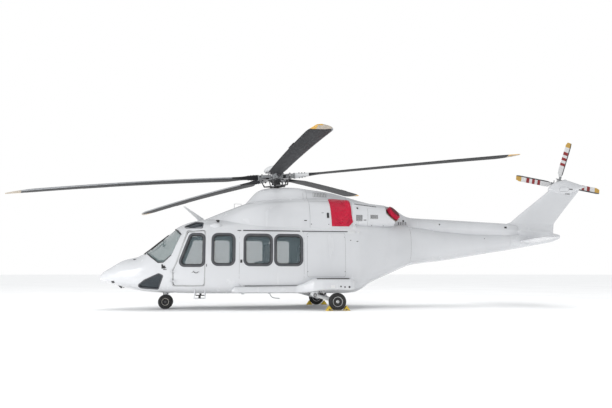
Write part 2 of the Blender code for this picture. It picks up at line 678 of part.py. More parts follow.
def build_upper_works(boom):
    """Cowlings over the gearbox and engines, the drive shaft cover and the engines inside."""
    shell = cowl_solid(0.0, COWL_LOW[0][0], COWL_HIGH[0][0], COWL_JOINT_2 + 0.05)
    hollow = cowl_solid(COWL_WALL, COWL_LOW[0][0] + 0.08, COWL_HIGH[0][0] + 0.06, COWL_LOW[-1][0])
    combine(shell, hollow, "DIFFERENCE")
    combine(shell, body_loft(-TOUCH), "DIFFERENCE")
    combine(shell, rod(HUB + MAST_DOWN * 0.60, HUB, MAST_OPENING_RADIUS), "DIFFERENCE")
    front = copy_of(shell)
    cut_by_x(front, 0.0, COWL_JOINT_1 - TOUCH)
    cut_by_x(shell, COWL_JOINT_1, COWL_JOINT_2 - TOUCH)
    as_part(front, "cowl_front", WHITE)
    for side in (-1, 1):
        combine(shell, box(4.47, 4.87, side * 0.72, side * 1.2, 2.50, 2.86), "DIFFERENCE")
    as_part(shell, "cowl_middle", WHITE)

    for word, side in (("left", -1), ("right", 1)):
        cover = combine(cowl_solid(-0.035, COWL_LOW[0][0], COWL_HIGH[0][0], COWL_LOW[-1][0]),
                        cowl_solid(-TOUCH, COWL_LOW[0][0], COWL_HIGH[0][0], COWL_LOW[-1][0]), "DIFFERENCE")
        combine(cover, prism(INTAKE_COVER, side * 0.56, side * 1.3), "INTERSECT")
        combine(cover, body_loft(-0.002), "DIFFERENCE")
        as_part(cover, f"intake_cover_{word}", RED_CLOTH)

    ridge = upper_loft(COWL_HIGH, 0.0, COWL_JOINT_2 - 0.1, COWL_HIGH[-1][0])
    hollow = upper_loft(COWL_HIGH, 0.025, COWL_JOINT_2 - 0.2, COWL_HIGH[-1][0] - 0.03)
    rear_cowl = ridge
    mouth = {}
    for side in (-1, 1):
        combine(rear_cowl, nacelle_loft(side, 0.0, NACELLE[0][0] + 0.05, NACELLE[-1][0]), "UNION")
        combine(hollow, nacelle_loft(side, 0.030, NACELLE[0][0], NACELLE[-1][0] - 0.04), "UNION")
        centre = Vector((EXHAUST_CENTRE.x, side * EXHAUST_CENTRE.y, EXHAUST_CENTRE.z))
        along = Vector((EXHAUST_AXIS.x, side * EXHAUST_AXIS.y, EXHAUST_AXIS.z))
        mouth[side] = (centre, along)
    combine(rear_cowl, hollow, "DIFFERENCE")
    combine(rear_cowl, body_loft(-TOUCH), "DIFFERENCE")
    for side in (-1, 1):
        centre, along = mouth[side]
        far = centre + along * 0.6
        combine(rear_cowl, rod(centre - along * 0.10, far, EXHAUST_RADIUS + TOUCH), "DIFFERENCE")
        combine(rear_cowl, rod(centre + along * 0.05, far, EXHAUST_RADIUS + 0.12), "DIFFERENCE")
    cut_by_x(rear_cowl, COWL_JOINT_2, COWL_HIGH[-1][0])
    as_part(rear_cowl, "cowl_rear", WHITE)

    cover = shaft_cover_loft(0.0, COWL_HIGH[-1][0] + TOUCH, SHAFT_COVER_END_X)
    combine(cover, body_loft(-TOUCH, CABIN_END_X, TAIL_JOINT_X), "DIFFERENCE")
    combine(boom, shaft_cover_loft(-TOUCH, COWL_HIGH[-1][0], SHAFT_COVER_END_X + TOUCH), "DIFFERENCE")
    combine(cover, shaft_cover_loft(SKIN, SHAFT_COVER[0][0], SHAFT_COVER[-1][0]), "DIFFERENCE")
    as_part(cover, "drive_shaft_cover", WHITE)
    return mouth


def build_powerplant(mouth):
    """Main gearbox, both engines and their exhaust pipes."""
    block = box(2.55, 3.60, -0.36, 0.36, 2.425, 2.80)
    combine(block, rod(HUB + MAST_DOWN * 1.0, HUB + MAST_DOWN * 0.47, 0.20), "UNION")
    combine(block, rod(HUB + MAST_DOWN * 0.60, HUB + MAST_DOWN * 0.33, 0.165), "UNION")
    for side in (-1, 1):
        shaft = rod((3.40, side * 0.26, 2.62), (4.20, side * 0.46, 2.62), 0.09)
        engine = rod((4.10, side * 0.46, 2.62), (5.70, side * 0.48, 2.62), 0.17)
        combine(block, united([engine, shaft]), "UNION")
        centre, along = mouth[side]
        pipe = rod(centre - along * 0.06, centre + along * EXHAUST_LIP, EXHAUST_RADIUS)
        duct = rod((5.60, side * 0.48, 2.61), centre, 0.15, 0.14)
        combine(block, united([pipe, duct]), "UNION")
        combine(block, rod(centre - along * 0.03, centre + along * 0.2, EXHAUST_RADIUS - 0.015), "DIFFERENCE")
    as_part(block, "powerplant", STEEL)
    for word, side in (("left", -1), ("right", 1)):
        centre, along = mouth[side]
        start = centre + along * (EXHAUST_LIP + TOUCH)
        end = start + along * EXHAUST_COVER_DEPTH
        cap = rod(start, end, EXHAUST_RADIUS + 0.012, EXHAUST_RADIUS - 0.012)
        as_part(cap, f"exhaust_cover_{word}", RED_CLOTH)


def fin_loft(rows, inset):
    rings = []
    for z, lead, trail, half in rows:
        start = lead + 2.0 * inset
        outline = airfoil(trail - lead - 4.0 * inset, half - inset, 16)
        rings.append([(start + along, across, z) for along, across in outline])
    return loft(rings)


def build_tail(boom):
    """Fin with the tail gearbox fairing, fused to the boom's end, and the stabiliser halves."""
    fin = fin_loft(FIN, 0.0)
    rings = []
    turns = [2.0 * math.pi * i / 20 for i in range(20)]
    for x, middle, half_height, half_width in GEARBOX_FAIRING:
        rings.append([(x, half_width * math.cos(turn), middle + half_height * math.sin(turn))
                      for turn in turns])
    combine(fin, loft(rings), "UNION")
    combine(fin, rod((TAIL_HUB.x, 0.0, TAIL_HUB.z), (TAIL_HUB.x, 0.24, TAIL_HUB.z), 0.075), "UNION")
    base = body_loft(0.0, TAIL_JOINT_X, BODY[-1][0])
    combine(base, fin, "UNION")
    combine(base, body_loft(SKIN, TAIL_JOINT_X - 0.1, BOOM_HOLLOW_END_X), "DIFFERENCE")
    combine(base, fin_loft(FIN[:-1], SKIN), "DIFFERENCE")
    combine(base, box(BOOM_SPLIT_X, 13.0, -2.0, 2.0, 0.0, 5.0), "INTERSECT")
    combine(boom, box(0.0, BOOM_SPLIT_X - TOUCH, -2.0, 2.0, 0.0, 5.0), "INTERSECT")
    for word, side in (("left", -1), ("right", 1)):
        rings = []
        for y, lead, trail, z, half in STABILISER:
            outline = airfoil(trail - lead, half, 14)
            rings.append([(lead + along, side * y, z - across) for along, across in outline])
        half_plane = loft(rings)
        cutter = body_loft(-TOUCH, BOOM_SPLIT_X, BODY[-1][0])
        combine(half_plane, cutter, "DIFFERENCE")
        combine(half_plane, box(9.0, 12.5, side * 0.10, side * 3.0, 1.0, 3.0), "INTERSECT")
        as_part(half_plane, f"stabiliser_{word}", WHITE)
    as_part(base, "tail_fin", WHITE)
    as_part(boom, "tail_boom", WHITE)


def sponson_loft(side, inset):
    rings = []
    for x, low, high, outer in SPONSON:
        middle_y = (outer + SPONSON_INNER_Y) / 2.0
        half_y = (outer - SPONSON_INNER_Y) / 2.0 - inset
        middle_z = (low + high) / 2.0
        half_z = (high - low) / 2.0 - inset
        ring = []
        for i in range(20):
            turn = 2.0 * math.pi * (i + 0.5) / 20
            ring.append((x, side * (middle_y + half_y * signed_power(math.cos(turn), 0.4)),
                         middle_z + half_z * signed_power(math.sin(turn), 0.4)))
        rings.append(ring)
    return loft(rings)


def build_main_gear():
    """Sponsons, trailing arms and main wheels."""
    wheel = MAIN_WHEEL
    arm_y = 1.36
    for word, side in (("left", -1), ("right", 1)):
        sponson = sponson_loft(side, 0.0)
        combine(sponson, body_loft(-TOUCH), "DIFFERENCE")
        as_part(sponson, f"sponson_{word}", WHITE)

        arm_end = Vector((wheel.x, side * arm_y, wheel.z))
        boss_half = Vector((0.0, 0.05, 0.0))
        pivot = rod((3.84, side * 1.20, 0.40), (3.84, side * 1.50, 0.40), 0.055, sides=16)
        arm = rod((3.84, side * arm_y, 0.40), arm_end, 0.050, 0.042, sides=10)
        bracket = box(3.76, 3.92, side * 1.25, side * 1.45, 0.38, 0.60)
        boss = rod(arm_end - boss_half * side, arm_end + boss_half * side, 0.060)
        axle = rod(arm_end, (wheel.x, side * (wheel.y + 0.047), wheel.z), 0.0345)
        strut = rod((4.18, side * arm_y, 0.32), (4.02, side * arm_y, 0.60), 0.032, sides=12)
        leg = united([arm, pivot, bracket, boss, axle, strut])
        combine(leg, sponson_loft(side, -TOUCH), "DIFFERENCE")
        combine(leg, body_loft(-TOUCH), "DIFFERENCE")
        as_part(leg, f"main_leg_{word}", WHITE)

        centre = (wheel.x, side * wheel.y, wheel.z)
        half = MAIN_TYRE_WIDTH / 2.0
        tyre = turned(wheel_profile(wheel.z, half, 0.128, 0.045), centre)
        bore_start = (wheel.x, side * (wheel.y - 0.2), wheel.z)
        bore_end = (wheel.x, side * (wheel.y + 0.2), wheel.z)
        combine(tyre, rod(bore_start, bore_end, 0.0353), "DIFFERENCE")
        axis = axis_empty(f"axis_main_wheel_{word}", centre)
        as_part(tyre, f"main_wheel_{word}", RUBBER, axis)


def wheel_profile(radius, half, rim_radius, web_half, hub_radius=0.06, offset=0.0):
    """A wheel's section from one face of its web to the other: web, rim, tyre, rim, web."""
    one_side = ((web_half, hub_radius), (web_half, rim_radius * 0.82), (half * 0.72, rim_radius),
                (half, radius * 0.80), (half * 0.86, radius * 0.93), (half * 0.42, radius))
    near = [(offset - along, r) for along, r in one_side]
    far = [(offset + along, r) for along, r in reversed(one_side)]
    return near + far


def build_nose_gear():
    """Fixed leg, steered fork with its axle, and the pair of wheels."""
    leg = rod((0.0, 0.0, 0.335), (0.0, 0.0, 0.60), 0.062)
    combine(leg, rod((0.03, 0.0, 0.40), (0.28, 0.0, 0.60), 0.026, sides=12), "UNION")
    combine(leg, body_loft(-TOUCH), "DIFFERENCE")
    as_part(leg, "nose_leg", WHITE)
    steer = axis_empty("axis_nose_steering", (0.0, 0.0, 0.30))
    z = NOSE_WHEEL_RADIUS
    fork = rod((0.0, 0.0, z - 0.02), (0.0, 0.0, 0.335 - TOUCH), 0.045)
    boss = rod((0.0, -0.048, z), (0.0, 0.048, z), 0.052)
    pad = box(-0.025, 0.025, -0.025, 0.025, 0.085, z)
    lug = box(0.02, 0.17, -0.018, 0.018, 0.262, 0.296)
    fork = united([fork, boss, pad, lug])
    combine(fork, rod((0.0, -0.1, z), (0.0, 0.1, z), 0.0303, sides=28), "DIFFERENCE")
    as_part(fork, "nose_fork", STEEL, steer)
    half = NOSE_TYRE_WIDTH / 2.0
    profile = [(-0.155, 0.0295)]
    for offset in (-NOSE_WHEEL_OFFSET, NOSE_WHEEL_OFFSET):
        profile += wheel_profile(NOSE_WHEEL_RADIUS, half, 0.095, 0.030, 0.0295, offset)
    profile.append((0.155, 0.0295))
    axis = axis_empty("axis_nose_wheels", (0.0, 0.0, z))
    as_part(turned(profile, (0.0, 0.0, z)), "nose_wheels", RUBBER, axis)


def blade_loft(stations, chord, thickness, pitch_root, pitch_tip):
    """A blade along +X with its leading edge towards +Y, twisted about its own axis."""
    rings = []
    for radius, chord_share, thick_share, sweep, lead_share, drop in stations:
        width = chord * chord_share
        lead = width * lead_share - sweep
        pitch = pitch_root + (pitch_tip - pitch_root) * radius / stations[-1][0]
        ring = []
        for along, across in airfoil(width, thickness * thick_share / 2.0, 12):
            y = lead - along
            ring.append((radius, y * math.cos(pitch) - across * math.sin(pitch),
                         y * math.sin(pitch) + across * math.cos(pitch) - drop))
        rings.append(ring)
    return loft(rings)


def build_main_rotor():
    """Head with its mast and rotating swashplate, cap and five blades."""
    rotor = axis_empty("axis_main_rotor", HUB, (0.0, -MAST_TILT, 0.0))
    place = rotor.matrix_world
    pieces = [
        rod((0, 0, -0.33 + TOUCH), (0, 0, 0.10), 0.075),
        rod((0, 0, -0.075), (0, 0, 0.075), 0.23, sides=20),
        rod((0, 0, -0.29), (0, 0, -0.235), 0.19, sides=20),
        rod((0, 0, 0.05), (0, 0, 0.155), 0.14),
    ]
    for i, (lag, _) in enumerate(BLADES):
        angle = FIRST_BLADE + math.radians(72.0 * i + lag)
        out = Vector((math.cos(angle), math.sin(angle), 0.0))
        side = Vector((-out.y, out.x, 0.0))
        up = Vector((0.0, 0.0, 1.0))
        damper = (out * 0.20 + side * 0.14, out * 0.52 + side * 0.13 + up * 0.03)
        horn = out * 0.42 - side * 0.17
        pieces += [
            rod(out * 0.15, out * 0.56, 0.085, 0.065, sides=10),
            rod(*damper, 0.036, sides=8),
            rod(out * 0.42, horn, 0.028, sides=6),
            rod(horn + up * 0.02, out * 0.155 - side * 0.04 - up * 0.262, 0.013, sides=6),
        ]
    head = united(pieces)
    head.data.transform(place)
    as_part(head, "rotor_head", STEEL, rotor)

    turns = [2.0 * math.pi * k / 24 for k in range(24)]
    cap = loft([[(r * math.cos(turn), r * math.sin(turn), z) for turn in turns] for z, r in CAP_PROFILE])
    cap.data.transform(place)
    as_part(cap, "rotor_cap", WHITE, rotor)

    for i, (lag, droop) in enumerate(BLADES):
        angle = FIRST_BLADE + math.radians(72.0 * i + lag)
        shorten = droop * droop / (2.0 * MAIN_RADIUS)
        stations = []
        for radius, *section in BLADE_STATIONS:
            share = (radius - BLADE_STATIONS[0][0]) / (MAIN_RADIUS - BLADE_STATIONS[0][0])
            stations.append((radius - shorten * share, *section, droop * share * radius / MAIN_RADIUS))
        blade = blade_loft(stations, MAIN_CHORD, BLADE_THICKNESS, PITCH_AT_ROOT, PITCH_AT_TIP)
        blade.data.transform(place @ Matrix.Rotation(angle, 4, "Z"))
        as_part(blade, f"main_blade_{i + 1}", BLADE_GREY, rotor)


def build_tail_rotor():
    """Hub with its output shaft, pitch spider and four blades, outboard of the fin."""
    rotor = axis_empty("axis_tail_rotor", TAIL_HUB)
    pieces = [
        rod((0, -0.14 + TOUCH, 0), (0, 0.02, 0), 0.055),
        rod((0, -0.035, 0), (0, 0.035, 0), 0.105),
        rod((0, 0.02, 0), (0, 0.13, 0), 0.035, sides=16),
    ]
    for degrees in TAIL_BLADES:
        angle = math.radians(degrees)
        out = Vector((math.cos(angle), 0.0, math.sin(angle)))
        across = Vector((-out.z, 0.0, out.x))
        outboard = Vector((0.0, 1.0, 0.0))
        horn = out * 0.185 + across * 0.02
        pieces += [
            rod(out * 0.06, out * 0.26, 0.042, 0.034, sides=10),
            rod(out * 0.02 + outboard * 0.115, out * 0.19 + across * 0.02 + outboard * 0.10, 0.013, sides=6),
            rod(horn + outboard * 0.105, horn, 0.011, sides=6),
        ]
    hub = united(pieces)
    hub.data.transform(rotor.matrix_world)
    as_part(hub, "tail_rotor_hub", STEEL, rotor)
    for i, degrees in enumerate(TAIL_BLADES):
        rings = []
        for radius, chord_share, thick_share in TAIL_STATIONS:
            width = TAIL_CHORD * chord_share
            rings.append([(radius, across, along - width * 0.28)
                          for along, across in airfoil(width, TAIL_THICKNESS * thick_share / 2.0, 12)])
        blade = loft(rings)
        blade.data.transform(rotor.matrix_world @ Matrix.Rotation(-math.radians(degrees), 4, "Y"))
        as_part(blade, f"tail_blade_{i + 1}", BANDED, rotor)


def build_cabin_fittings():
    """Instrument panel with its console, crew seats and two rows of cabin seats."""
    panel = box(-0.30, -0.02, -0.70, 0.70, 1.00, 1.30)
    combine(panel, box(-0.28, 0.02, -0.17, 0.17, 0.50, 1.10), "UNION")
    combine(panel, box(-0.28, 0.62, -0.17, 0.17, FLOOR_Z + TOUCH, 0.98), "UNION")
    combine(panel, interior(TOUCH), "INTERSECT")
    as_part(panel, "instrument_panel", PANEL_BLACK)
    crew = box(0.75, 0.85, -0.5, 0.5, FLOOR_Z + TOUCH, 0.66)
    for side in (-1, 1):
        y0 = side * 0.24
        y1 = side * 0.74
        combine(crew, box(0.66, 1.10, y0, y1, FLOOR_Z + TOUCH, 0.81), "UNION")
        combine(crew, box(0.64, 1.05, y0, y1, 0.80, 1.02), "UNION")
        back = ((0.95, 0.85), (1.10, 0.85), (1.24, 1.72), (1.12, 1.74))
        combine(crew, loft([[(x, y, z) for x, z in back] for y in (y0, y1)]), "UNION")
    combine(crew, interior(TOUCH), "INTERSECT")
    as_part(crew, "crew_seats", SEAT_CLOTH)
    rails = box(2.32, 3.60, 0.40, 0.48, FLOOR_Z - 0.01, FLOOR_Z + 0.03)
    combine(rails, box(2.32, 3.60, -0.48, -0.40, FLOOR_Z - 0.01, FLOOR_Z + 0.03), "UNION")
    for x in SEAT_ROWS:
        side_view = ((0.0, FLOOR_Z - 0.02), (0.42, FLOOR_Z - 0.02), (0.50, 1.02), (0.60, 1.80),
                     (0.50, 1.83), (0.38, 1.12), (-0.02, 1.06), (-0.02, 0.96), (0.04, 0.94))
        row = loft([[(x + a, y, z) for a, z in side_view] for y in (-0.90, 0.90)])
        combine(rails, row, "UNION")
    combine(rails, interior(TOUCH), "INTERSECT")
    as_part(rails, "cabin_seats", SEAT_CLOTH)


def build_fittings():
    """Roof blade aerial and the yellow wheel chocks."""
    outline = ((0.83, 2.30), (0.98, 2.30), (0.98, 2.45), (0.455, 2.795), (0.405, 2.785), (0.80, 2.43))
    aerial = loft([[(x, y, z) for x, z in outline] for y in (-0.012, 0.012)])
    combine(aerial, body_loft(-TOUCH), "DIFFERENCE")
    combine(aerial, upper_loft(COWL_LOW, -TOUCH, 1.0, 2.0), "DIFFERENCE")
    as_part(aerial, "roof_aerial", WHITE)
    for word, side in (("left", -1), ("right", 1)):
        pieces = []
        for lean, inner, top, outer in CHOCKS:
            x = MAIN_WHEEL.x
            ring = ((x + lean * inner, 0.0), (x + lean * outer, 0.0), (x + lean * top, CHOCK_HEIGHT))
            chock = loft([[(px, py, pz) for px, pz in ring] for py in (side * 1.445, side * 1.585)])
            pieces.append(chock)
        pieces.append(rod((4.20, side * 1.625, 0.03), (4.64, side * 1.625, 0.03), 0.012, sides=10))
        for x in (4.20, 4.64):
            pieces.append(rod((x, side * 1.53, 0.03), (x, side * 1.635, 0.03), 0.016, sides=10))
        as_part(united(pieces), f"wheel_chocks_{word}", YELLOW)


cabin_body, door_sheet, boom_body = build_fuselage()
axes = build_doors(cabin_body, door_sheet)
build_glass(glass_skin(), axes)
exhausts = build_upper_works(boom_body)
build_powerplant(exhausts)
build_tail(boom_body)
build_main_gear()
build_nose_gear()
build_main_rotor()
build_tail_rotor()
build_cabin_fittings()
build_fittings()
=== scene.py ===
"""Finish of a parked twin-engined helicopter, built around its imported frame.

Metres, +Z up. The nose points towards -X and port is -Y, as in the frame.
"""
import json
from math import atan2, ceil, copysign, cos, exp, pi, radians, sin, sqrt, tan, tau

import bmesh
import bpy
import numpy as np
from bpy.props import FloatProperty, FloatVectorProperty, PointerProperty
from bpy.types import Operator, Panel, PropertyGroup
from mathutils import Matrix, Vector, noise
from mathutils.bvhtree import BVHTree


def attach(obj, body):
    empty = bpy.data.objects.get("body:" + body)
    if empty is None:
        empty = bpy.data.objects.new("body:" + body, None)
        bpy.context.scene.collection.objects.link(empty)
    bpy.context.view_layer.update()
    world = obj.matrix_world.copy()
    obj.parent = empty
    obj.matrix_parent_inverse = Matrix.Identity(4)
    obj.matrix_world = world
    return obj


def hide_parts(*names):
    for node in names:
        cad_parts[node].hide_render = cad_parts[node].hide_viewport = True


bl_info = {
    "name": "Parked helicopter",
    "version": (1, 0, 0),
    "blender": (4, 5, 0),
    "location": "3D View > Sidebar > Helicopter",
    "description": "Gives a parked helicopter its skins, rotors, gear, covers and finishes",
    "category": "Add Mesh",
}

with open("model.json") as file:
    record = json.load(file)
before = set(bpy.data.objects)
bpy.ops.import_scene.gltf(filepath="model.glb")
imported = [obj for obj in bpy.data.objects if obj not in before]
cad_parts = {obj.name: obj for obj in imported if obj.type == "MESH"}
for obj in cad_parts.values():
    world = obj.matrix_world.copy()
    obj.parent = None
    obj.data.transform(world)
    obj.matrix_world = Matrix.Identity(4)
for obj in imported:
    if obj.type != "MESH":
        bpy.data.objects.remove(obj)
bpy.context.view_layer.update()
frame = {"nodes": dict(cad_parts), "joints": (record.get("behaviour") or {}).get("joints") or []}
JOINTS = {joint["name"]: joint for joint in frame["joints"]}

# The rotor's hub, with local +Z up the mast and local +X aft.
HUB = Vector(JOINTS["main_rotor_turn"]["pos_m"])
MAST_TILT = radians(5.55)
ROTOR_PLACE = Matrix.Translation(HUB) @ Matrix.Rotation(-MAST_TILT, 4, "Y")
TAIL_HUB = Vector(JOINTS["tail_rotor_turn"]["pos_m"])
NOSE_AXLE = Vector(JOINTS["nose_wheel_roll"]["pos_m"])
MAIN_AXLE = Vector(JOINTS["main_wheel_right_roll"]["pos_m"])
SIDES = (("left", -1), ("right", 1))
# X of the main wheels' middle and z of the cabin's floor.
WHEEL_X = 4.42
CABIN_FLOOR = 0.6205

LENGTH = {"unit": "LENGTH", "min": 0.0}
COLOUR = {"subtype": "COLOR", "size": 3, "min": 0.0, "max": 1.0}


class HelicopterSizes(PropertyGroup):
    """Sizes of the finish that a user would change"""
    seal_reach: FloatProperty(name="Window seal",
                              description="Reach of a window's rubber frame outside its pane",
                              default=0.050, max=0.060, **LENGTH)
    seam_width: FloatProperty(name="Door seam", description="Width of the seams round the doors",
                              default=0.008, max=0.020, **LENGTH)
    groove_depth: FloatProperty(name="Tyre groove", description="Depth of the grooves in the tyres",
                                default=0.006, max=0.012, **LENGTH)
    tip_length: FloatProperty(name="Blade tip", description="Length of the coloured tip of a main blade",
                              default=0.34, max=0.80, **LENGTH)
    cover_slack: FloatProperty(name="Cover slack", description="How far the cloth of an intake cover may sag",
                               default=0.022, max=0.030, **LENGTH)
    rope_radius: FloatProperty(name="Chock rope",
                               description="Radius of one strand of the rope between chocks",
                               default=0.0055, max=0.010, **LENGTH)
    floor_light: FloatProperty(name="Floor light",
                               description="Strength of the light that only the floor gets", default=1.30,
                               min=0.0, max=5.0)
    floor_glow: FloatProperty(name="Floor glow", description="Light that the pale floor gives off by itself",
                              default=0.0, min=0.0, max=1.0)


class HelicopterColours(PropertyGroup):
    """Colours that a user would change"""
    white_paint: FloatVectorProperty(name="White paint", description="Gloss paint of the airframe",
                                     default=(0.73, 0.74, 0.76), **COLOUR)
    blade_paint: FloatVectorProperty(name="Blade paint", description="Dark paint of the main blades",
                                     default=(0.014, 0.015, 0.018), **COLOUR)
    tip_beige: FloatVectorProperty(name="Blade tip", description="Paint of the main blades' tips",
                                   default=(0.50, 0.44, 0.36), **COLOUR)
    tip_amber: FloatVectorProperty(name="Tip edge", description="Paint along the rear edge of the tips",
                                   default=(0.80, 0.45, 0.06), **COLOUR)
    band_red: FloatVectorProperty(name="Tail blade bands", description="Dark bands of the tail blades",
                                  default=(0.30, 0.020, 0.022), **COLOUR)
    cover_red: FloatVectorProperty(name="Intake covers", description="Cloth of the engine intake covers",
                                   default=(0.60, 0.005, 0.042), **COLOUR)
    cover_rose: FloatVectorProperty(name="Exhaust covers", description="Cloth of the exhaust covers and hems",
                                    default=(0.55, 0.010, 0.050), **COLOUR)
    window_seal: FloatVectorProperty(name="Window seals", description="Rubber round the windows",
                                     default=(0.075, 0.078, 0.088), **COLOUR)
    chock_yellow: FloatVectorProperty(name="Chocks", description="Paint of the wheel chocks",
                                      default=(0.80, 0.56, 0.04), **COLOUR)
    seat_cloth: FloatVectorProperty(name="Seats", description="Cloth of the seat cushions",
                                    default=(0.17, 0.17, 0.18), **COLOUR)


# Fuselage sections: x, lowest z, highest z, half width, z of the widest line,
# and how square the lower and upper halves are (2 is an ellipse).
BODY = (
    (-1.720, 0.800, 0.885, 0.055, 0.843, 2.0, 2.0),
    (-1.660, 0.742, 0.966, 0.175, 0.850, 2.0, 2.0),
    (-1.450, 0.688, 1.104, 0.400, 0.860, 2.1, 2.0),
    (-1.100, 0.588, 1.305, 0.640, 0.900, 2.4, 2.1),
    (-0.750, 0.512, 1.392, 0.820, 0.950, 2.8, 2.2),
    (-0.540, 0.478, 1.515, 0.900, 0.985, 3.0, 2.2),
    (-0.200, 0.447, 1.790, 0.980, 1.050, 3.4, 2.3),
    (0.120, 0.438, 2.048, 1.040, 1.120, 3.8, 2.5),
    (0.333, 0.432, 2.215, 1.072, 1.180, 4.2, 2.8),
    (0.700, 0.425, 2.350, 1.108, 1.240, 4.6, 3.2),
    (1.100, 0.420, 2.410, 1.130, 1.300, 5.0, 3.6),
    (3.700, 0.412, 2.420, 1.130, 1.300, 5.0, 3.6),
    (4.760, 0.408, 2.420, 1.130, 1.300, 5.0, 3.6),
    (5.080, 0.430, 2.420, 1.120, 1.320, 4.4, 3.4),
    (5.600, 0.690, 2.400, 1.000, 1.480, 3.6, 3.2),
    (6.200, 0.935, 2.370, 0.820, 1.640, 3.0, 3.0),
    (6.900, 1.190, 2.330, 0.560, 1.780, 2.6, 2.8),
    (8.000, 1.335, 2.215, 0.425, 1.790, 2.4, 2.2),
    (9.200, 1.526, 2.150, 0.335, 1.870, 2.3, 2.1),
    (10.100, 1.665, 2.150, 0.262, 1.930, 2.2, 2.1),
    (10.900, 1.805, 2.180, 0.190, 2.010, 2.2, 2.1),
    (11.420, 1.900, 2.170, 0.110, 2.050, 2.0, 2.0),
    (11.690, 2.000, 2.120, 0.050, 2.070, 2.0, 2.0),
)
BODY_SIDES = 26
# The cap of the nose starts here and bulges forwards by this much.
NOSE_CAP_X = -1.66
NOSE_BULGE = 0.022
# Edges of the skins are cut down to this length, and steeper turns than this stay sharp.
SKIN_EDGE = 0.088
SKIN_CREASE = radians(38.0)
# Points closer than this are welded.
WELD = 0.00002

# Upper works: x, highest z, half width, squareness. Each section stands on the base.
COWL_LOW = (
    (1.000, 2.430, 0.500, 2.2),
    (1.400, 2.595, 0.720, 2.4),
    (1.750, 2.735, 0.840, 2.6),
    (2.150, 2.880, 0.920, 2.8),
    (2.700, 2.980, 0.970, 3.0),
    (3.800, 3.040, 0.985, 3.2),
    (4.400, 3.050, 0.985, 3.2),
    (5.100, 3.020, 0.955, 3.2),
)
COWL_HIGH = (
    (2.080, 2.840, 0.300, 2.2),
    (2.300, 3.100, 0.380, 2.4),
    (2.450, 3.245, 0.430, 2.6),
    (2.620, 3.315, 0.470, 2.8),
    (2.950, 3.362, 0.500, 3.0),
    (3.450, 3.374, 0.500, 3.0),
    (3.870, 3.330, 0.480, 3.0),
    (4.500, 3.255, 0.440, 2.8),
    (5.000, 3.140, 0.380, 2.6),
    (5.500, 3.010, 0.320, 2.5),
    (5.900, 2.930, 0.280, 2.5),
    (6.320, 2.880, 0.250, 2.5),
)
COWL_BASE_Z = 2.05
# Engine nacelles: x, height of the middle, half height, offset from the middle plane, half width.
NACELLE = (
    (4.800, 2.545, 0.440, 0.520, 0.435),
    (5.400, 2.535, 0.375, 0.520, 0.410),
    (5.900, 2.535, 0.325, 0.510, 0.380),
    (6.250, 2.535, 0.290, 0.500, 0.345),
)
# Where the cowling panels part along x, and half the gap between them.
COWL_JOINTS = (0.98, 3.80, 4.97, 6.318)
COWL_GAP = 0.003
COWL_VOXEL = 0.023
SPONSON_VOXEL = 0.018
MAST_OPENING_RADIUS = 0.215
EXHAUST_CENTRE = Vector((6.146, 0.609, 2.540))
EXHAUST_AXIS = Vector((0.58, 0.50, 0.64)).normalized()
EXHAUST_RADIUS = 0.212

# Drive shaft cover: x, highest z, half width at the edge, z of the edge, z of the foot. Its skirt
# below the edge takes up this share of the way round at either side.
SHAFT_COVER_SKIRT = 0.08
SHAFT_COVER = (
    (6.300, 2.900, 0.300, 2.300, 2.100),
    (6.500, 2.760, 0.300, 2.290, 2.100),
    (6.730, 2.610, 0.300, 2.280, 2.100),
    (6.900, 2.556, 0.385, 2.260, 2.130),
    (8.000, 2.512, 0.355, 2.245, 2.090),
    (9.000, 2.470, 0.320, 2.232, 2.040),
    (9.940, 2.428, 0.270, 2.205, 2.010),
    (10.240, 2.395, 0.195, 2.190, 2.000),
)
# Fin: z, x of the leading edge, x of the trailing edge, half thickness.
FIN = (
    (1.980, 10.350, 11.470, 0.110),
    (2.200, 10.020, 11.500, 0.130),
    (2.430, 9.960, 11.530, 0.130),
    (2.480, 10.120, 11.553, 0.128),
    (2.730, 10.430, 11.760, 0.115),
    (3.140, 10.980, 12.120, 0.100),
    (3.450, 11.385, 12.400, 0.092),
    (3.600, 11.560, 12.480, 0.088),
)
# Tail gearbox fairing: x, z of the middle, half height, half width.
GEARBOX_FAIRING = (
    (11.400, 3.500, 0.020, 0.020),
    (11.480, 3.520, 0.110, 0.105),
    (11.700, 3.560, 0.195, 0.180),
    (11.960, 3.585, 0.225, 0.205),
    (12.250, 3.600, 0.150, 0.155),
    (12.500, 3.620, 0.060, 0.070),
    (12.650, 3.628, 0.018, 0.020),
)
# Stabiliser half: y, x of the leading edge, x of the trailing edge, z, half thickness.
STABILISER = (
    (0.100, 10.300, 11.050, 1.900, 0.055),
    (2.020, 9.990, 10.450, 1.925, 0.028),
)

# Main blades: lag in degrees and droop of the tip in metres, from the near one aft and round.
BLADES = ((-1.42, 0.177), (4.75, 0.055), (0.73, 0.100), (0.42, 0.211), (-3.16, 0.217))
FIRST_BLADE = radians(-86.75)
BLADE_STEP = 72.0
MAIN_RADIUS = 6.90
# Only this blade, counted from the near one, is given the white cuff at its root; the roots of the other
# blades keep the dark blade paint, which is painted shade over their cuffs.
UNSHADED_CUFF_BLADE = 1
CUFF_END = 0.97
STRIP_START = 1.35
MAIN_CHORD = 0.51
BLADE_THICKNESS = 0.052
PITCH_AT_ROOT = radians(5.55)
PITCH_AT_TIP = radians(-1.35)
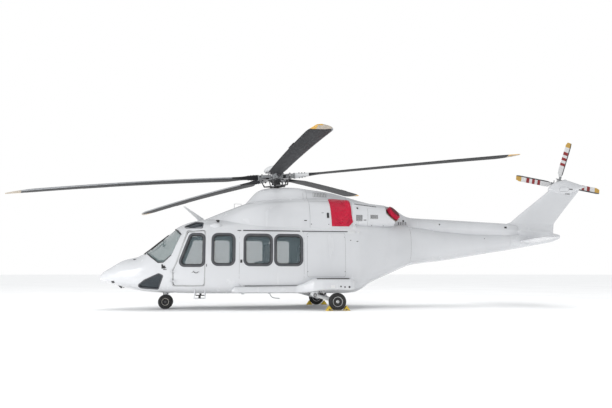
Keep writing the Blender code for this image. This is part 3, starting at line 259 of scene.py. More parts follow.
# Main blade: radius, share of the chord, share of the thickness, sweep aft, lead of its edge.
BLADE_STATIONS = (
    (0.5603, 0.17, 2.9, 0.00, 0.50),
    (0.78, 0.19, 2.4, 0.00, 0.50),
    (1.05, 0.62, 1.5, 0.00, 0.28),
    (1.35, 1.00, 1.0, 0.00, 0.255),
    (6.30, 1.00, 1.0, 0.00, 0.255),
    (6.50, 0.88, 0.8, 0.03, 0.255),
    (6.72, 0.62, 0.6, 0.10, 0.255),
    (6.90, 0.26, 0.4, 0.22, 0.255),
)
TAIL_BLADES = (69.5, 170.9, 249.5, 350.6)
TAIL_RADIUS = 1.43
TAIL_CHORD = 0.19
TAIL_THICKNESS = 0.026
# Tail blade: radius, share of the chord, share of the thickness.
TAIL_STATIONS = (
    (0.2603, 0.50, 1.9),
    (0.36, 0.95, 1.2),
    (0.50, 1.00, 1.0),
    (1.33, 1.00, 0.9),
    (1.43, 0.72, 0.5),
)
# Bands of a tail blade: outer end as a share of the radius, and the finish inside it.
TAIL_BANDS = ((0.18, 0), (0.44, 0), (0.500, 1), (0.560, 0), (0.625, 1), (0.690, 0), (0.765, 1),
              (0.885, 0), (1.0, 2))

# Windows in the side view, x and z of their corners, with the radius of the corners.
DOOR_WINDOW = (((0.385, 1.165), (0.990, 1.165), (0.990, 1.945), (0.670, 1.945)), 0.09)
FRONT_WINDOW = (((1.240, 1.192), (1.762, 1.192), (1.762, 1.950), (1.240, 1.950)), 0.12)
MIDDLE_WINDOW = (((2.065, 1.187), (2.738, 1.187), (2.738, 1.942), (2.065, 1.942)), 0.12)
REAR_WINDOW = (((2.864, 1.187), (3.542, 1.187), (3.542, 1.940), (2.864, 1.940)), 0.12)


def smooth_rows(table, x):
    """Values of a table at places x, on smooth curves that never swing past its rows."""
    rows = np.array(table, float)
    rise = np.diff(rows, axis=0) / np.diff(rows[:, :1], axis=0)
    product = rise[:-1] * rise[1:]
    total = np.where(product > 0.0, rise[:-1] + rise[1:], 1.0)
    slopes = np.vstack([rise[:1], np.where(product > 0.0, 2.0 * product / total, 0.0), rise[-1:]])
    x = np.atleast_1d(np.asarray(x, float))
    i = np.clip(np.searchsorted(rows[:, 0], x) - 1, 0, len(rows) - 2)
    width = (rows[i + 1, 0] - rows[i, 0])[:, None]
    t = np.clip((x - rows[i, 0])[:, None] / width, 0.0, 1.0)
    return ((1.0 + 2.0 * t) * (1.0 - t) ** 2 * rows[i] + t * (1.0 - t) ** 2 * width * slopes[i]
            + t * t * (3.0 - 2.0 * t) * rows[i + 1] + t * t * (t - 1.0) * width * slopes[i + 1])


def straight_rows(table, x):
    """Values of a table at places x, on straight lines between its rows."""
    rows = np.array(table, float)
    x = np.atleast_1d(np.asarray(x, float))
    return np.stack([np.interp(x, rows[:, 0], column) for column in rows.T], axis=1)


def row_at(table, x):
    """One smooth row of a table."""
    return [float(value) for value in smooth_rows(table, x)[0]]


def signed_power(value, power):
    """A power that keeps the sign of its value."""
    return copysign(abs(value) ** power, value)


def body_ring(rows):
    """The flat-sided rings that the frame's fuselage is lofted through, as y and z."""
    turn = tau * (np.arange(BODY_SIDES) + 0.5) / BODY_SIDES
    low, high, half, waist, square_low, square_high = (column[:, None] for column in rows.T[1:])
    upper = np.sin(turn) > 0.0
    square = np.where(upper, square_high, square_low)
    reach = np.where(upper, high - waist, waist - low)
    y = half * np.sign(np.cos(turn)) * np.abs(np.cos(turn)) ** (2.0 / square)
    z = waist + reach * np.sign(np.sin(turn)) * np.abs(np.sin(turn)) ** (2.0 / square)
    return np.stack([y, z], axis=2)


def smooth_reach(rows, direction):
    """How far the smooth fuselage is from its section's centre in each direction."""
    low, high, half, waist, square_low, square_high = rows.T[1:]
    upper = direction[:, 1] > 0.0
    square = np.where(upper, square_high, square_low)
    rise = np.where(upper, high - waist, waist - low)
    ratio = (np.abs(direction[:, 0]) / half) ** square + (np.abs(direction[:, 1]) / rise) ** square
    return ratio ** (-1.0 / square)


def flat_reach(points, centre, direction):
    """How far the frame's flat-sided fuselage is from its section's centre in each direction."""
    stations = np.array(BODY)[:, 0]
    rings = body_ring(np.array(BODY))
    i = np.clip(np.searchsorted(stations, points[:, 0]) - 1, 0, len(stations) - 2)
    t = np.clip((points[:, 0] - stations[i]) / (stations[i + 1] - stations[i]), 0.0, 1.0)[:, None, None]
    ring = rings[i] * (1.0 - t) + rings[i + 1] * t - centre[:, None, :]
    edge = np.roll(ring, -1, axis=1) - ring
    across = direction[:, None, 0] * edge[..., 1] - direction[:, None, 1] * edge[..., 0]
    across = np.where(np.abs(across) < 1e-12, 1e-12, across)
    reach = (ring[..., 0] * edge[..., 1] - ring[..., 1] * edge[..., 0]) / across
    share = (ring[..., 0] * direction[:, None, 1] - ring[..., 1] * direction[:, None, 0]) / across
    hit = (share >= -1e-6) & (share <= 1.0 + 1e-6) & (reach > 0.0)
    return np.where(hit, reach, 0.0).max(axis=1)


def body_share(points):
    """How far out of the smooth fuselage each point is: 1 on its skin, less inside."""
    rows = smooth_rows(BODY, points[:, 0])
    offset = points[:, 1:] - np.stack([np.zeros(len(points)), rows[:, 4]], axis=1)
    length = np.maximum(np.linalg.norm(offset, axis=1), 1e-9)
    return length / smooth_reach(rows, offset / length[:, None])


def body_normals(points):
    """Directions straight out of the smooth fuselage."""
    step = 0.004
    slopes = []
    for axis in np.eye(3) * step:
        slopes.append(body_share(points + axis) - body_share(points - axis))
    normals = np.stack(slopes, axis=1)
    return normals / np.maximum(np.linalg.norm(normals, axis=1), 1e-12)[:, None]


def rounded_off(points):
    """Points of the frame's flat-sided fuselage, carried out to the smooth one."""
    flat_rows = straight_rows(BODY, points[:, 0])
    rows = smooth_rows(BODY, points[:, 0])
    centre = np.stack([np.zeros(len(points)), flat_rows[:, 4]], axis=1)
    offset = points[:, 1:] - centre
    length = np.maximum(np.linalg.norm(offset, axis=1), 1e-9)
    direction = offset / length[:, None]
    share = length / np.maximum(flat_reach(points, centre, direction), 1e-6)
    moved = points.copy()
    moved[:, 1:] = direction * (smooth_reach(rows, direction) * share)[:, None]
    moved[:, 2] += rows[:, 4]
    return moved


def skin_point(x, z, side, lift=0.0):
    """The place on the fuselage's side at a height, lifted off it by a little."""
    _, low, high, half, waist, square_low, square_high = row_at(BODY, x)
    square = square_high if z > waist else square_low
    reach = high - waist if z > waist else waist - low
    share = min(0.9999, abs(z - waist) / reach)
    y = half * (1.0 - share ** square) ** (1.0 / square)
    point = np.array([[x, side * y, z]])
    return Vector(point[0]) + Vector(body_normals(point)[0]) * lift


def coordinates(mesh):
    """A mesh's points as an array."""
    values = np.empty(len(mesh.vertices) * 3, np.float32)
    mesh.vertices.foreach_get("co", values)
    return values.reshape(-1, 3).astype(float)


def add_node(tree, kind, values=None, links=None, **settings):
    """A shader node with its settings, socket values and incoming links."""
    made = tree.nodes.new(kind)
    for name, value in settings.items():
        setattr(made, name, value)
    for socket, value in (values or {}).items():
        made.inputs[socket].default_value = value
    for socket, source in (links or {}).items():
        tree.links.new(source, made.inputs[socket])
    return made


def new_group(name, inputs, outputs):
    """A node group with its sockets, its input node and its output node."""
    made = bpy.data.node_groups.new(name, "ShaderNodeTree")
    for label, kind, value in inputs:
        socket = made.interface.new_socket(label, in_out="INPUT", socket_type=kind)
        if value is not None:
            socket.default_value = value
    for label, kind in outputs:
        made.interface.new_socket(label, in_out="OUTPUT", socket_type=kind)
    return made, made.nodes.new("NodeGroupInput"), made.nodes.new("NodeGroupOutput")


def grime_group():
    """Dirt in soft patches and streaks that run down, over a slightly uneven colour."""
    if "grime" in bpy.data.node_groups:
        return bpy.data.node_groups["grime"]
    group, taken, given = new_group("grime", (
        ("Vector", "NodeSocketVector", None), ("Colour", "NodeSocketColor", (0.8, 0.8, 0.8, 1.0)),
        ("Dirt", "NodeSocketColor", (0.2, 0.19, 0.17, 1.0)), ("Amount", "NodeSocketFloat", 0.2),
        ("Scale", "NodeSocketFloat", 1.0), ("Gloss", "NodeSocketFloat", 0.3)),
        (("Colour", "NodeSocketColor"), ("Roughness", "NodeSocketFloat"), ("Mask", "NodeSocketFloat")))
    patches = add_node(group, "ShaderNodeTexNoise", {"Detail": 7.0, "Roughness": 0.62},
                       {"Vector": taken.outputs["Vector"], "Scale": taken.outputs["Scale"]})
    drawn = add_node(group, "ShaderNodeMapping", {"Scale": (5.0, 5.0, 0.55)},
                     {"Vector": taken.outputs["Vector"]})
    streaks = add_node(group, "ShaderNodeTexNoise", {"Detail": 4.0, "Roughness": 0.5},
                       {"Vector": drawn.outputs[0], "Scale": taken.outputs["Scale"]})
    patch_mask = add_node(group, "ShaderNodeMapRange", {"From Min": 0.47, "From Max": 0.78},
                          {"Value": patches.outputs[0]})
    streak_mask = add_node(group, "ShaderNodeMapRange", {"From Min": 0.50, "From Max": 0.80},
                           {"Value": streaks.outputs[0]})
    both = add_node(group, "ShaderNodeMath", {}, {0: patch_mask.outputs[0], 1: streak_mask.outputs[0]},
                    operation="MAXIMUM")
    mask = add_node(group, "ShaderNodeMath", {}, {0: both.outputs[0], 1: taken.outputs["Amount"]},
                    operation="MULTIPLY", use_clamp=True)
    tone = add_node(group, "ShaderNodeMapRange",
                    {"From Min": 0.3, "From Max": 0.7, "To Min": 0.95, "To Max": 1.03},
                    {"Value": patches.outputs[0]})
    toned = add_node(group, "ShaderNodeVectorMath", {},
                     {0: taken.outputs["Colour"], "Scale": tone.outputs[0]}, operation="SCALE")
    dirty = add_node(group, "ShaderNodeMix", {}, {0: mask.outputs[0], 6: toned.outputs[0],
                                                  7: taken.outputs["Dirt"]}, data_type="RGBA")
    rough = add_node(group, "ShaderNodeMath", {1: 0.35}, {0: mask.outputs[0], 2: taken.outputs["Gloss"]},
                     operation="MULTIPLY_ADD", use_clamp=True)
    for name, source in (("Colour", dirty.outputs[2]), ("Roughness", rough.outputs[0]),
                         ("Mask", mask.outputs[0])):
        group.links.new(source, given.inputs[name])
    return group


def grain_group():
    """A fine uneven surface, from orange peel in paint to the pits of a casting."""
    if "grain" in bpy.data.node_groups:
        return bpy.data.node_groups["grain"]
    group, taken, given = new_group("grain", (
        ("Vector", "NodeSocketVector", None), ("Scale", "NodeSocketFloat", 80.0),
        ("Strength", "NodeSocketFloat", 0.1)), (("Normal", "NodeSocketVector"),))
    pits = add_node(group, "ShaderNodeTexNoise", {"Detail": 3.0},
                    {"Vector": taken.outputs["Vector"], "Scale": taken.outputs["Scale"]})
    bump = add_node(group, "ShaderNodeBump", {"Distance": 0.01},
                    {"Height": pits.outputs[0], "Strength": taken.outputs["Strength"]})
    group.links.new(bump.outputs[0], given.inputs["Normal"])
    return group


def weave_group():
    """Crossing threads of a cloth, with slack wrinkles on a larger scale."""
    if "weave" in bpy.data.node_groups:
        return bpy.data.node_groups["weave"]
    group, taken, given = new_group("weave", (
        ("Vector", "NodeSocketVector", None), ("Threads", "NodeSocketFloat", 300.0),
        ("Wrinkles", "NodeSocketFloat", 6.0), ("Strength", "NodeSocketFloat", 0.3)),
        (("Normal", "NodeSocketVector"), ("Shade", "NodeSocketFloat")))
    warp = add_node(group, "ShaderNodeTexWave", {"Distortion": 0.4},
                    {"Vector": taken.outputs["Vector"], "Scale": taken.outputs["Threads"]},
                    bands_direction="X")
    weft = add_node(group, "ShaderNodeTexWave", {"Distortion": 0.4},
                    {"Vector": taken.outputs["Vector"], "Scale": taken.outputs["Threads"]},
                    bands_direction="Z")
    threads = add_node(group, "ShaderNodeMath", {}, {0: warp.outputs[1], 1: weft.outputs[1]},
                       operation="MAXIMUM")
    folds = add_node(group, "ShaderNodeTexNoise", {"Detail": 3.0, "Distortion": 1.4},
                     {"Vector": taken.outputs["Vector"], "Scale": taken.outputs["Wrinkles"]})
    fold_bump = add_node(group, "ShaderNodeBump", {"Distance": 0.05},
                         {"Height": folds.outputs[0], "Strength": taken.outputs["Strength"]})
    bump = add_node(group, "ShaderNodeBump", {"Distance": 0.0006, "Strength": 0.5},
                    {"Height": threads.outputs[0], "Normal": fold_bump.outputs[0]})
    shade = add_node(group, "ShaderNodeMapRange", {"To Min": 0.82, "To Max": 1.08},
                     {"Value": threads.outputs[0]})
    group.links.new(bump.outputs[0], given.inputs["Normal"])
    group.links.new(shade.outputs[0], given.inputs["Shade"])
    return group


def finish_of(name, colour, roughness, metallic=0.0, dirt=(0.20, 0.19, 0.17), amount=0.15, scale=1.2,
              grain=(90.0, 0.03), coat=0.0, alpha=1.0, weave=None, sheen=0.0, specular=0.5):
    """A named material: uneven colour with dirt, varied gloss, and grain or weave in the normal."""
    if name in bpy.data.materials:
        return bpy.data.materials[name]
    made = bpy.data.materials.new(name)
    made.use_nodes = True
    tree = made.node_tree
    shader = tree.nodes["Principled BSDF"]
    shader.inputs["Metallic"].default_value = metallic
    shader.inputs["Coat Weight"].default_value = coat
    shader.inputs["Sheen Weight"].default_value = sheen
    shader.inputs["Alpha"].default_value = alpha
    shader.inputs["Specular IOR Level"].default_value = specular
    place = add_node(tree, "ShaderNodeTexCoord").outputs["Object"]
    grime = add_node(tree, "ShaderNodeGroup", node_tree=grime_group())
    grime.inputs["Colour"].default_value = (*colour, 1.0)
    grime.inputs["Dirt"].default_value = (*dirt, 1.0)
    for socket, value in (("Amount", amount), ("Scale", scale), ("Gloss", roughness)):
        grime.inputs[socket].default_value = value
    tree.links.new(place, grime.inputs["Vector"])
    tree.links.new(grime.outputs["Colour"], shader.inputs["Base Color"])
    tree.links.new(grime.outputs["Roughness"], shader.inputs["Roughness"])
    if weave:
        surface = add_node(tree, "ShaderNodeGroup", node_tree=weave_group())
        for socket, value in zip(("Threads", "Wrinkles", "Strength"), weave):
            surface.inputs[socket].default_value = value
    else:
        surface = add_node(tree, "ShaderNodeGroup", node_tree=grain_group())
        for socket, value in zip(("Scale", "Strength"), grain):
            surface.inputs[socket].default_value = value
    tree.links.new(place, surface.inputs["Vector"])
    tree.links.new(surface.outputs["Normal"], shader.inputs["Normal"])
    return made


# Finishes: colour or the name of the property that holds it, roughness, then what differs from the
# defaults of finish_of.
FINISHES = {
    "white_gloss": dict(colour="white_paint", roughness=0.26, amount=0.07, scale=0.8, coat=0.25,
                        dirt=(0.42, 0.41, 0.40)),
    "white_satin": dict(colour=(0.74, 0.75, 0.76), roughness=0.42, amount=0.14, scale=2.0),
    "cabin_lining": dict(colour=(0.055, 0.053, 0.050), roughness=0.8, amount=0.2, scale=3.0,
                         grain=(140.0, 0.1)),
    "side_glass": dict(colour=(0.21, 0.275, 0.30), roughness=0.05, amount=0.05, alpha=0.28,
                       grain=(3.0, 0.01)),
    "front_glass": dict(colour=(0.31, 0.385, 0.39), roughness=0.05, amount=0.05, alpha=0.36,
                        grain=(3.0, 0.01)),
    "dark_glass": dict(colour=(0.03, 0.04, 0.05), roughness=0.08, amount=0.05, alpha=0.92, grain=(3.0, 0.01)),
    "seal_grey": dict(colour="window_seal", roughness=0.5, amount=0.25, scale=6.0),
    "seal_black": dict(colour=(0.018, 0.018, 0.02), roughness=0.6, amount=0.2, scale=6.0),
    "seam_line": dict(colour=(0.36, 0.365, 0.37), roughness=0.7, amount=0.3, scale=5.0),
    "blade_paint": dict(colour="blade_paint", roughness=0.5, amount=0.2, scale=1.5, specular=0.2,
                       dirt=(0.075, 0.07, 0.065)),
    "blade_strip": dict(colour=(0.42, 0.43, 0.45), roughness=0.38, metallic=0.85, amount=0.3, scale=2.0),
    "tip_beige": dict(colour="tip_beige", roughness=0.5, amount=0.3, scale=5.0),
    "tip_amber": dict(colour="tip_amber", roughness=0.45, amount=0.2, scale=5.0),
    "steel": dict(colour=(0.46, 0.46, 0.47), roughness=0.32, metallic=0.95, amount=0.3, scale=9.0,
                  grain=(160.0, 0.1)),
    "dark_steel": dict(colour=(0.10, 0.10, 0.105), roughness=0.42, metallic=0.7, amount=0.35, scale=9.0,
                       grain=(120.0, 0.15)),
    "cast_grey": dict(colour=(0.30, 0.31, 0.32), roughness=0.5, metallic=0.3, amount=0.35, scale=8.0,
                      grain=(120.0, 0.2)),
    "bronze": dict(colour=(0.36, 0.27, 0.19), roughness=0.38, metallic=0.9, amount=0.4, scale=7.0),
    "black_plastic": dict(colour=(0.022, 0.023, 0.026), roughness=0.5, amount=0.2, scale=6.0),
    "tyre": dict(colour=(0.022, 0.022, 0.023), roughness=0.78, amount=0.4, scale=7.0,
                 dirt=(0.10, 0.095, 0.085), grain=(170.0, 0.25)),
    "wheel_silver": dict(colour=(0.60, 0.60, 0.60), roughness=0.35, metallic=0.7, amount=0.25, scale=9.0),
    "wheel_cream": dict(colour=(0.66, 0.63, 0.56), roughness=0.42, amount=0.25, scale=9.0),
    "cover_red": dict(colour="cover_red", roughness=0.28, amount=0.2, scale=4.0, specular=0.4,
                      dirt=(0.34, 0.004, 0.02), weave=(420.0, 8.0, 0.85)),
    "cover_rose": dict(colour="cover_rose", roughness=0.45, amount=0.3, scale=6.0, specular=0.2,
                       dirt=(0.22, 0.006, 0.015), weave=(420.0, 9.0, 0.3)),
    "cover_mesh": dict(colour=(0.16, 0.010, 0.022), roughness=0.7, amount=0.4, scale=9.0,
                       dirt=(0.05, 0.01, 0.01), weave=(260.0, 14.0, 0.4)),
    "chock_paint": dict(colour="chock_yellow", roughness=0.45, amount=0.3, scale=9.0),
    "band_white": dict(colour=(0.78, 0.78, 0.78), roughness=0.36, amount=0.12, scale=6.0),
    "band_red": dict(colour="band_red", roughness=0.38, amount=0.2, scale=6.0),
    "band_ochre": dict(colour=(0.62, 0.38, 0.08), roughness=0.42, amount=0.2, scale=6.0),
    "seat_cloth": dict(colour="seat_cloth", roughness=0.85, amount=0.3, scale=9.0,
                      weave=(360.0, 9.0, 0.25), sheen=0.3),
    "seat_shell": dict(colour=(0.12, 0.12, 0.125), roughness=0.6, amount=0.25, scale=6.0, grain=(90.0, 0.15)),
    "belt_webbing": dict(colour=(0.05, 0.05, 0.055), roughness=0.7, amount=0.2, scale=9.0,
                         weave=(500.0, 3.0, 0.1), sheen=0.3),
    "screen_glass": dict(colour=(0.012, 0.014, 0.018), roughness=0.07, amount=0.05, grain=(3.0, 0.01),
                         coat=0.6),
    "rope_cream": dict(colour=(0.42, 0.38, 0.30), roughness=0.85, amount=0.4, scale=20.0,
                       weave=(600.0, 30.0, 0.2), sheen=0.2),
    "seal_light": dict(colour=(0.52, 0.525, 0.53), roughness=0.6, amount=0.2, scale=6.0),
    "lamp_clear": dict(colour=(0.75, 0.78, 0.80), roughness=0.08, amount=0.05, grain=(3.0, 0.01), coat=0.5),
    "floor_white": dict(colour=(0.93, 0.93, 0.93), roughness=0.9, amount=0.02, scale=0.3),
}


def finish(name):
    """A finish of the table, its colour read from the scene where a user may change it."""
    settings = dict(FINISHES[name])
    if isinstance(settings["colour"], str):
        settings["colour"] = tuple(getattr(bpy.context.scene.helicopter_colours, settings["colour"]))
    return finish_of(name, **settings)


def mesh_of(bm, name):
    """The mesh of a bmesh, which is freed."""
    mesh = bpy.data.meshes.new(name)
    bm.to_mesh(mesh)
    bm.free()
    return mesh


def linked(name, data):
    """A new object in the scene."""
    made = bpy.data.objects.new(name, data)
    bpy.context.scene.collection.objects.link(made)
    return made


def placed(bm, name, finishes, replaces=(), body="airframe", sharp=40):
    """Make a piece of a finished bmesh: its finishes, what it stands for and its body."""
    mesh = mesh_of(bm, name)
    for label in [finishes] if isinstance(finishes, str) else finishes:
        mesh.materials.append(finish(label))
    if sharp is not None:
        mesh.shade_smooth()
        mesh.set_sharp_from_angle(angle=radians(sharp))
    piece = linked(name, mesh)
    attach(piece, body)
    if replaces:
        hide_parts(*replaces)
    return piece


def closed(bm, turn_out=True):
    """Weld a bmesh's seams, close its ends and point its faces outwards."""
    bmesh.ops.remove_doubles(bm, verts=bm.verts, dist=WELD)
    bmesh.ops.dissolve_degenerate(bm, edges=bm.edges, dist=WELD)
    bmesh.ops.holes_fill(bm, edges=[edge for edge in bm.edges if edge.is_boundary], sides=0)
    if turn_out:
        bmesh.ops.recalc_face_normals(bm, faces=bm.faces)
    return bm


def joined(*parts):
    """One bmesh of several, each closed on its own before."""
    result = bmesh.new()
    for part in parts:
        mesh = mesh_of(part, "part")
        result.from_mesh(mesh)
        bpy.data.meshes.remove(mesh)
    return result


def coloured(bm, index):
    """Give all faces of a bmesh one finish index."""
    for face in bm.faces:
        face.material_index = index
    return bm


def wrapped(place, columns, rows, finish_at=None):
    """A sheet of quads laid over a form: place gives the point for shares of both directions."""
    bm = bmesh.new()
    bmesh.ops.create_grid(bm, x_segments=columns, y_segments=rows, size=0.5)
    if finish_at is not None:
        for face in bm.faces:
            middle = face.calc_center_median()
            face.material_index = finish_at(middle.x + 0.5, middle.y + 0.5)
    for vert in bm.verts:
        vert.co = place(vert.co.x + 0.5, vert.co.y + 0.5)
    return closed(bm)


def turned(profile, start, end, steps=32):
    """A form turned about the line between two points, from (share of the line, radius) points."""
    start, end = Vector(start), Vector(end)
    along = end - start
    bm = bmesh.new()
    verts = [bm.verts.new((radius, 0.0, share * along.length)) for share, radius in profile]
    edges = [bm.edges.new(pair) for pair in zip(verts, verts[1:])]
    bmesh.ops.spin(bm, geom=verts + edges, cent=(0.0, 0.0, 0.0), axis=(0.0, 0.0, 1.0), use_merge=True,
                   angle=tau, steps=steps)
    turn = along.to_track_quat("Z", "Y").to_matrix().to_4x4()
    bmesh.ops.transform(bm, matrix=Matrix.Translation(start) @ turn, verts=bm.verts)
    return closed(bm)


def lathed(profile, start, end, steps=32):
    """A solid turned form, its profile carried to the line at both ends."""
    return turned(((0.0, 0.0), *profile, (1.0, 0.0)), start, end, steps)


def rod(start, end, radius, radius_end=None, edge=0.12, steps=20):
    """A round bar between two points with broken edges."""
    last = radius if radius_end is None else radius_end
    length = (Vector(end) - Vector(start)).length
    cut = min(radius * edge, length * 0.2)
    profile = ((0.0, radius - cut), (cut / length, radius), (1.0 - cut / length, last), (1.0, last - cut))
    return lathed(profile, start, end, steps)


def block(low, high, bevel=0.004, segments=2):
    """A box between two corners with rounded edges."""
    low, high = Vector(low), Vector(high)
    size = [abs(b - a) for a, b in zip(low, high)]
    bm = bmesh.new()
    place = Matrix.Translation((low + high) / 2.0) @ Matrix.Diagonal((*size, 1.0))
    bmesh.ops.create_cube(bm, size=1.0, matrix=place)
    bmesh.ops.bevel(bm, geom=bm.edges[:], offset=min(bevel, min(size) * 0.45), affect="EDGES",
                    segments=segments, profile=0.5, material=-1)
    return bm


def ball(centre, size, steps=16):
    """An ellipsoid from its middle and its three radii."""
    bm = bmesh.new()
    place = Matrix.Translation(centre) @ Matrix.Diagonal((*size, 1.0))
    bmesh.ops.create_uvsphere(bm, u_segments=steps, v_segments=steps // 2, radius=1.0, matrix=place)
    return bm


def pipe(points, radius, sides=10):
    """A round pipe through points, with closed ends."""
    points = [Vector(point) for point in points]
    directions = [(b - a).normalized() for a, b in zip(points, points[1:])]
    tangents = [directions[0]]
    tangents += [(a + b).normalized() for a, b in zip(directions, directions[1:])] + [directions[-1]]
    frames = []
    side = tangents[0].orthogonal().normalized()
    for tangent in tangents:
        side = (side - tangent * side.dot(tangent)).normalized()
        frames.append((side.copy(), tangent.cross(side)))

    def place(u, v):
        i = round(v * (len(points) - 1))
        turn = tau * u
        first, second = frames[i]
        return points[i] + (first * cos(turn) + second * sin(turn)) * radius

    return wrapped(place, sides, len(points) - 1)


def moved(bm, matrix):
    """A bmesh carried by a matrix."""
    bmesh.ops.transform(bm, matrix=matrix, verts=bm.verts)
    return bm


def mirrored(bm):
    """A bmesh carried over to the other side of the middle plane."""
    bmesh.ops.scale(bm, vec=(1.0, -1.0, 1.0), verts=bm.verts)
    bmesh.ops.reverse_faces(bm, faces=bm.faces)
    return bm


def slab(points, offset, bevel=0.0):
    """A flat outline carried along a vector into a closed plate."""
    bm = bmesh.new()
    verts = [bm.verts.new(point) for point in points]
    edges = [bm.edges.new((verts[i - 1], verts[i])) for i in range(len(verts))]
    faces = bmesh.ops.contextual_create(bm, geom=edges)["faces"]
    made = bmesh.ops.extrude_face_region(bm, geom=faces, use_keep_orig=True)["geom"]
    bmesh.ops.translate(bm, vec=offset, verts=[item for item in made if isinstance(item, bmesh.types.BMVert)])
    closed(bm)
    if bevel:
        bmesh.ops.bevel(bm, geom=bm.edges[:], offset=bevel, affect="EDGES", segments=2, profile=0.5,
                        material=-1)
    return bm


def bolt(point, direction, radius=0.009, height=0.008):
    """A six-sided head with a washer, standing on a surface."""
    point, direction = Vector(point), Vector(direction).normalized()
    washer = rod(point, point + direction * height * 0.25, radius * 1.5, steps=12)
    head = rod(point + direction * height * 0.25, point + direction * height, radius, steps=6)
    return joined(washer, head)


def bolt_ring(centre, axis, ring_radius, count, radius=0.009, height=0.008):
    """Bolts in a circle about an axis."""
    centre, axis = Vector(centre), Vector(axis).normalized()
    first = axis.orthogonal().normalized() * ring_radius
    turns = [Matrix.Rotation(tau * k / count, 3, axis) for k in range(count)]
    return joined(*(bolt(centre + turn @ first, axis, radius, height) for turn in turns))


def gathered(parts):
    """One bmesh of (bmesh, finish index) pairs."""
    return joined(*(coloured(part, index) for part, index in parts))


def tree_of(*names):
    """A search tree of finished pieces."""
    bm = bmesh.new()
    for name in names:
        bm.from_mesh(bpy.data.objects[name].data)
    tree = BVHTree.FromBMesh(bm)
    bm.free()
    return tree


def surface_of(*names):
    """Gives the place on finished pieces that faces a point of the side view, lifted off them."""
    tree = tree_of(*names)

    def surface(x, z, side, lift=0.0):
        place, normal, _, _ = tree.ray_cast(Vector((x, side * 3.0, z)), Vector((0.0, -side, 0.0)))
        if place is None:
            raise ValueError(f"nothing of {names} faces x {x:.3f}, z {z:.3f}")
        return place + normal * lift

    return surface


def strip(path, profile, side, surface=skin_point, step=0.06):
    """A closed strip along an open line of the side view, from (offset, lift) points of its section."""
    corners = [Vector(point) for point in path]
    points = []
    for start, end in zip(corners, corners[1:]):
        count = max(1, ceil((end - start).length / step))
        points += [start.lerp(end, k / count) for k in range(count)]
    points.append(corners[-1])
    normals = []
    for i in range(len(points)):
        along = (points[min(i + 1, len(points) - 1)] - points[max(i - 1, 0)]).normalized()
        normals.append(Vector((-along.y, along.x)))

    def place(u, v):
        i = round(v * (len(points) - 1))
        k = round(u * len(profile)) % len(profile)
        spot = points[i] + normals[i] * profile[k][0]
        return surface(spot.x, spot.y, side, profile[k][1])

    return wrapped(place, len(profile), len(points) - 1)


def node_copy(name):
    """A CAD node's surface as a welded bmesh."""
    bm = bmesh.new()
    bm.from_mesh(frame["nodes"][name].data)
    bmesh.ops.remove_doubles(bm, verts=bm.verts, dist=WELD)
    return bm


def fine_skin(name, finishes, body="airframe"):
    """A fuselage piece of the frame, cut finer and rounded off, with the smooth form's shading.

    Faces that look inwards take the second finish, where there is one.
    """
    bm = node_copy(name)
    bmesh.ops.triangulate(bm, faces=[face for face in bm.faces if len(face.verts) > 3])
    for _ in range(7):
        long_edges = [edge for edge in bm.edges if edge.calc_length() > SKIN_EDGE]
        if not long_edges:
            break
        bmesh.ops.subdivide_edges(bm, edges=long_edges, cuts=1)
        bmesh.ops.triangulate(bm, faces=[face for face in bm.faces if len(face.verts) > 3])
    mesh = placed(bm, f"{name}_skin", finishes, (name,), body, sharp=None).data
    points = rounded_off(coordinates(mesh))
    nose = NOSE_CAP_X - points[:, 0]
    bulge = np.clip(nose / (NOSE_CAP_X - BODY[0][0]), 0.0, 1.0)
    points[:, 0] -= NOSE_BULGE * bulge * (1.0 - np.clip(body_share(points), 0.0, 1.0) ** 2)
    mesh.vertices.foreach_set("co", points.astype(np.float32).ravel())
    mesh.update()
    smooth = body_normals(points)
    normals = []
    cosine = cos(SKIN_CREASE)
    for face in mesh.polygons:
        middle = Vector(smooth[list(face.vertices)].mean(axis=0)).normalized()
        agree = face.normal.dot(middle)
        if len(mesh.materials) > 1 and agree < -0.5:
            face.material_index = 1
        for vertex in face.vertices:
            if agree > cosine:
                normals.append(tuple(smooth[vertex]))
            elif agree < -cosine:
                normals.append(tuple(-smooth[vertex]))
            else:
                normals.append(tuple(face.normal))
    mesh.shade_smooth()
    mesh.normals_split_custom_set(normals)


def build_airframe_skins():
    """Nose, cabin, roof, rear fuselage, boom, doors and panes."""
    lined = ("white_gloss", "cabin_lining")
    for name in ("nose_shell", "rear_fuselage", "tail_boom", "cabin_shell", "cabin_roof", "sliding_door_left",
                 "sliding_door_right"):
        fine_skin(name, lined)
    for word, _ in SIDES:
        door = f"cockpit_door_{word}"
        fine_skin(door, lined, door)
        fine_skin(f"cockpit_door_glass_{word}", "side_glass", door)
        for name, glass in (("eyebrow_window", "dark_glass"), ("chin_window", "dark_glass"),
                            ("cabin_window", "side_glass"), ("sliding_door_glass", "side_glass")):
            fine_skin(f"{name}_{word}", glass)
    fine_skin("windshield", "front_glass")


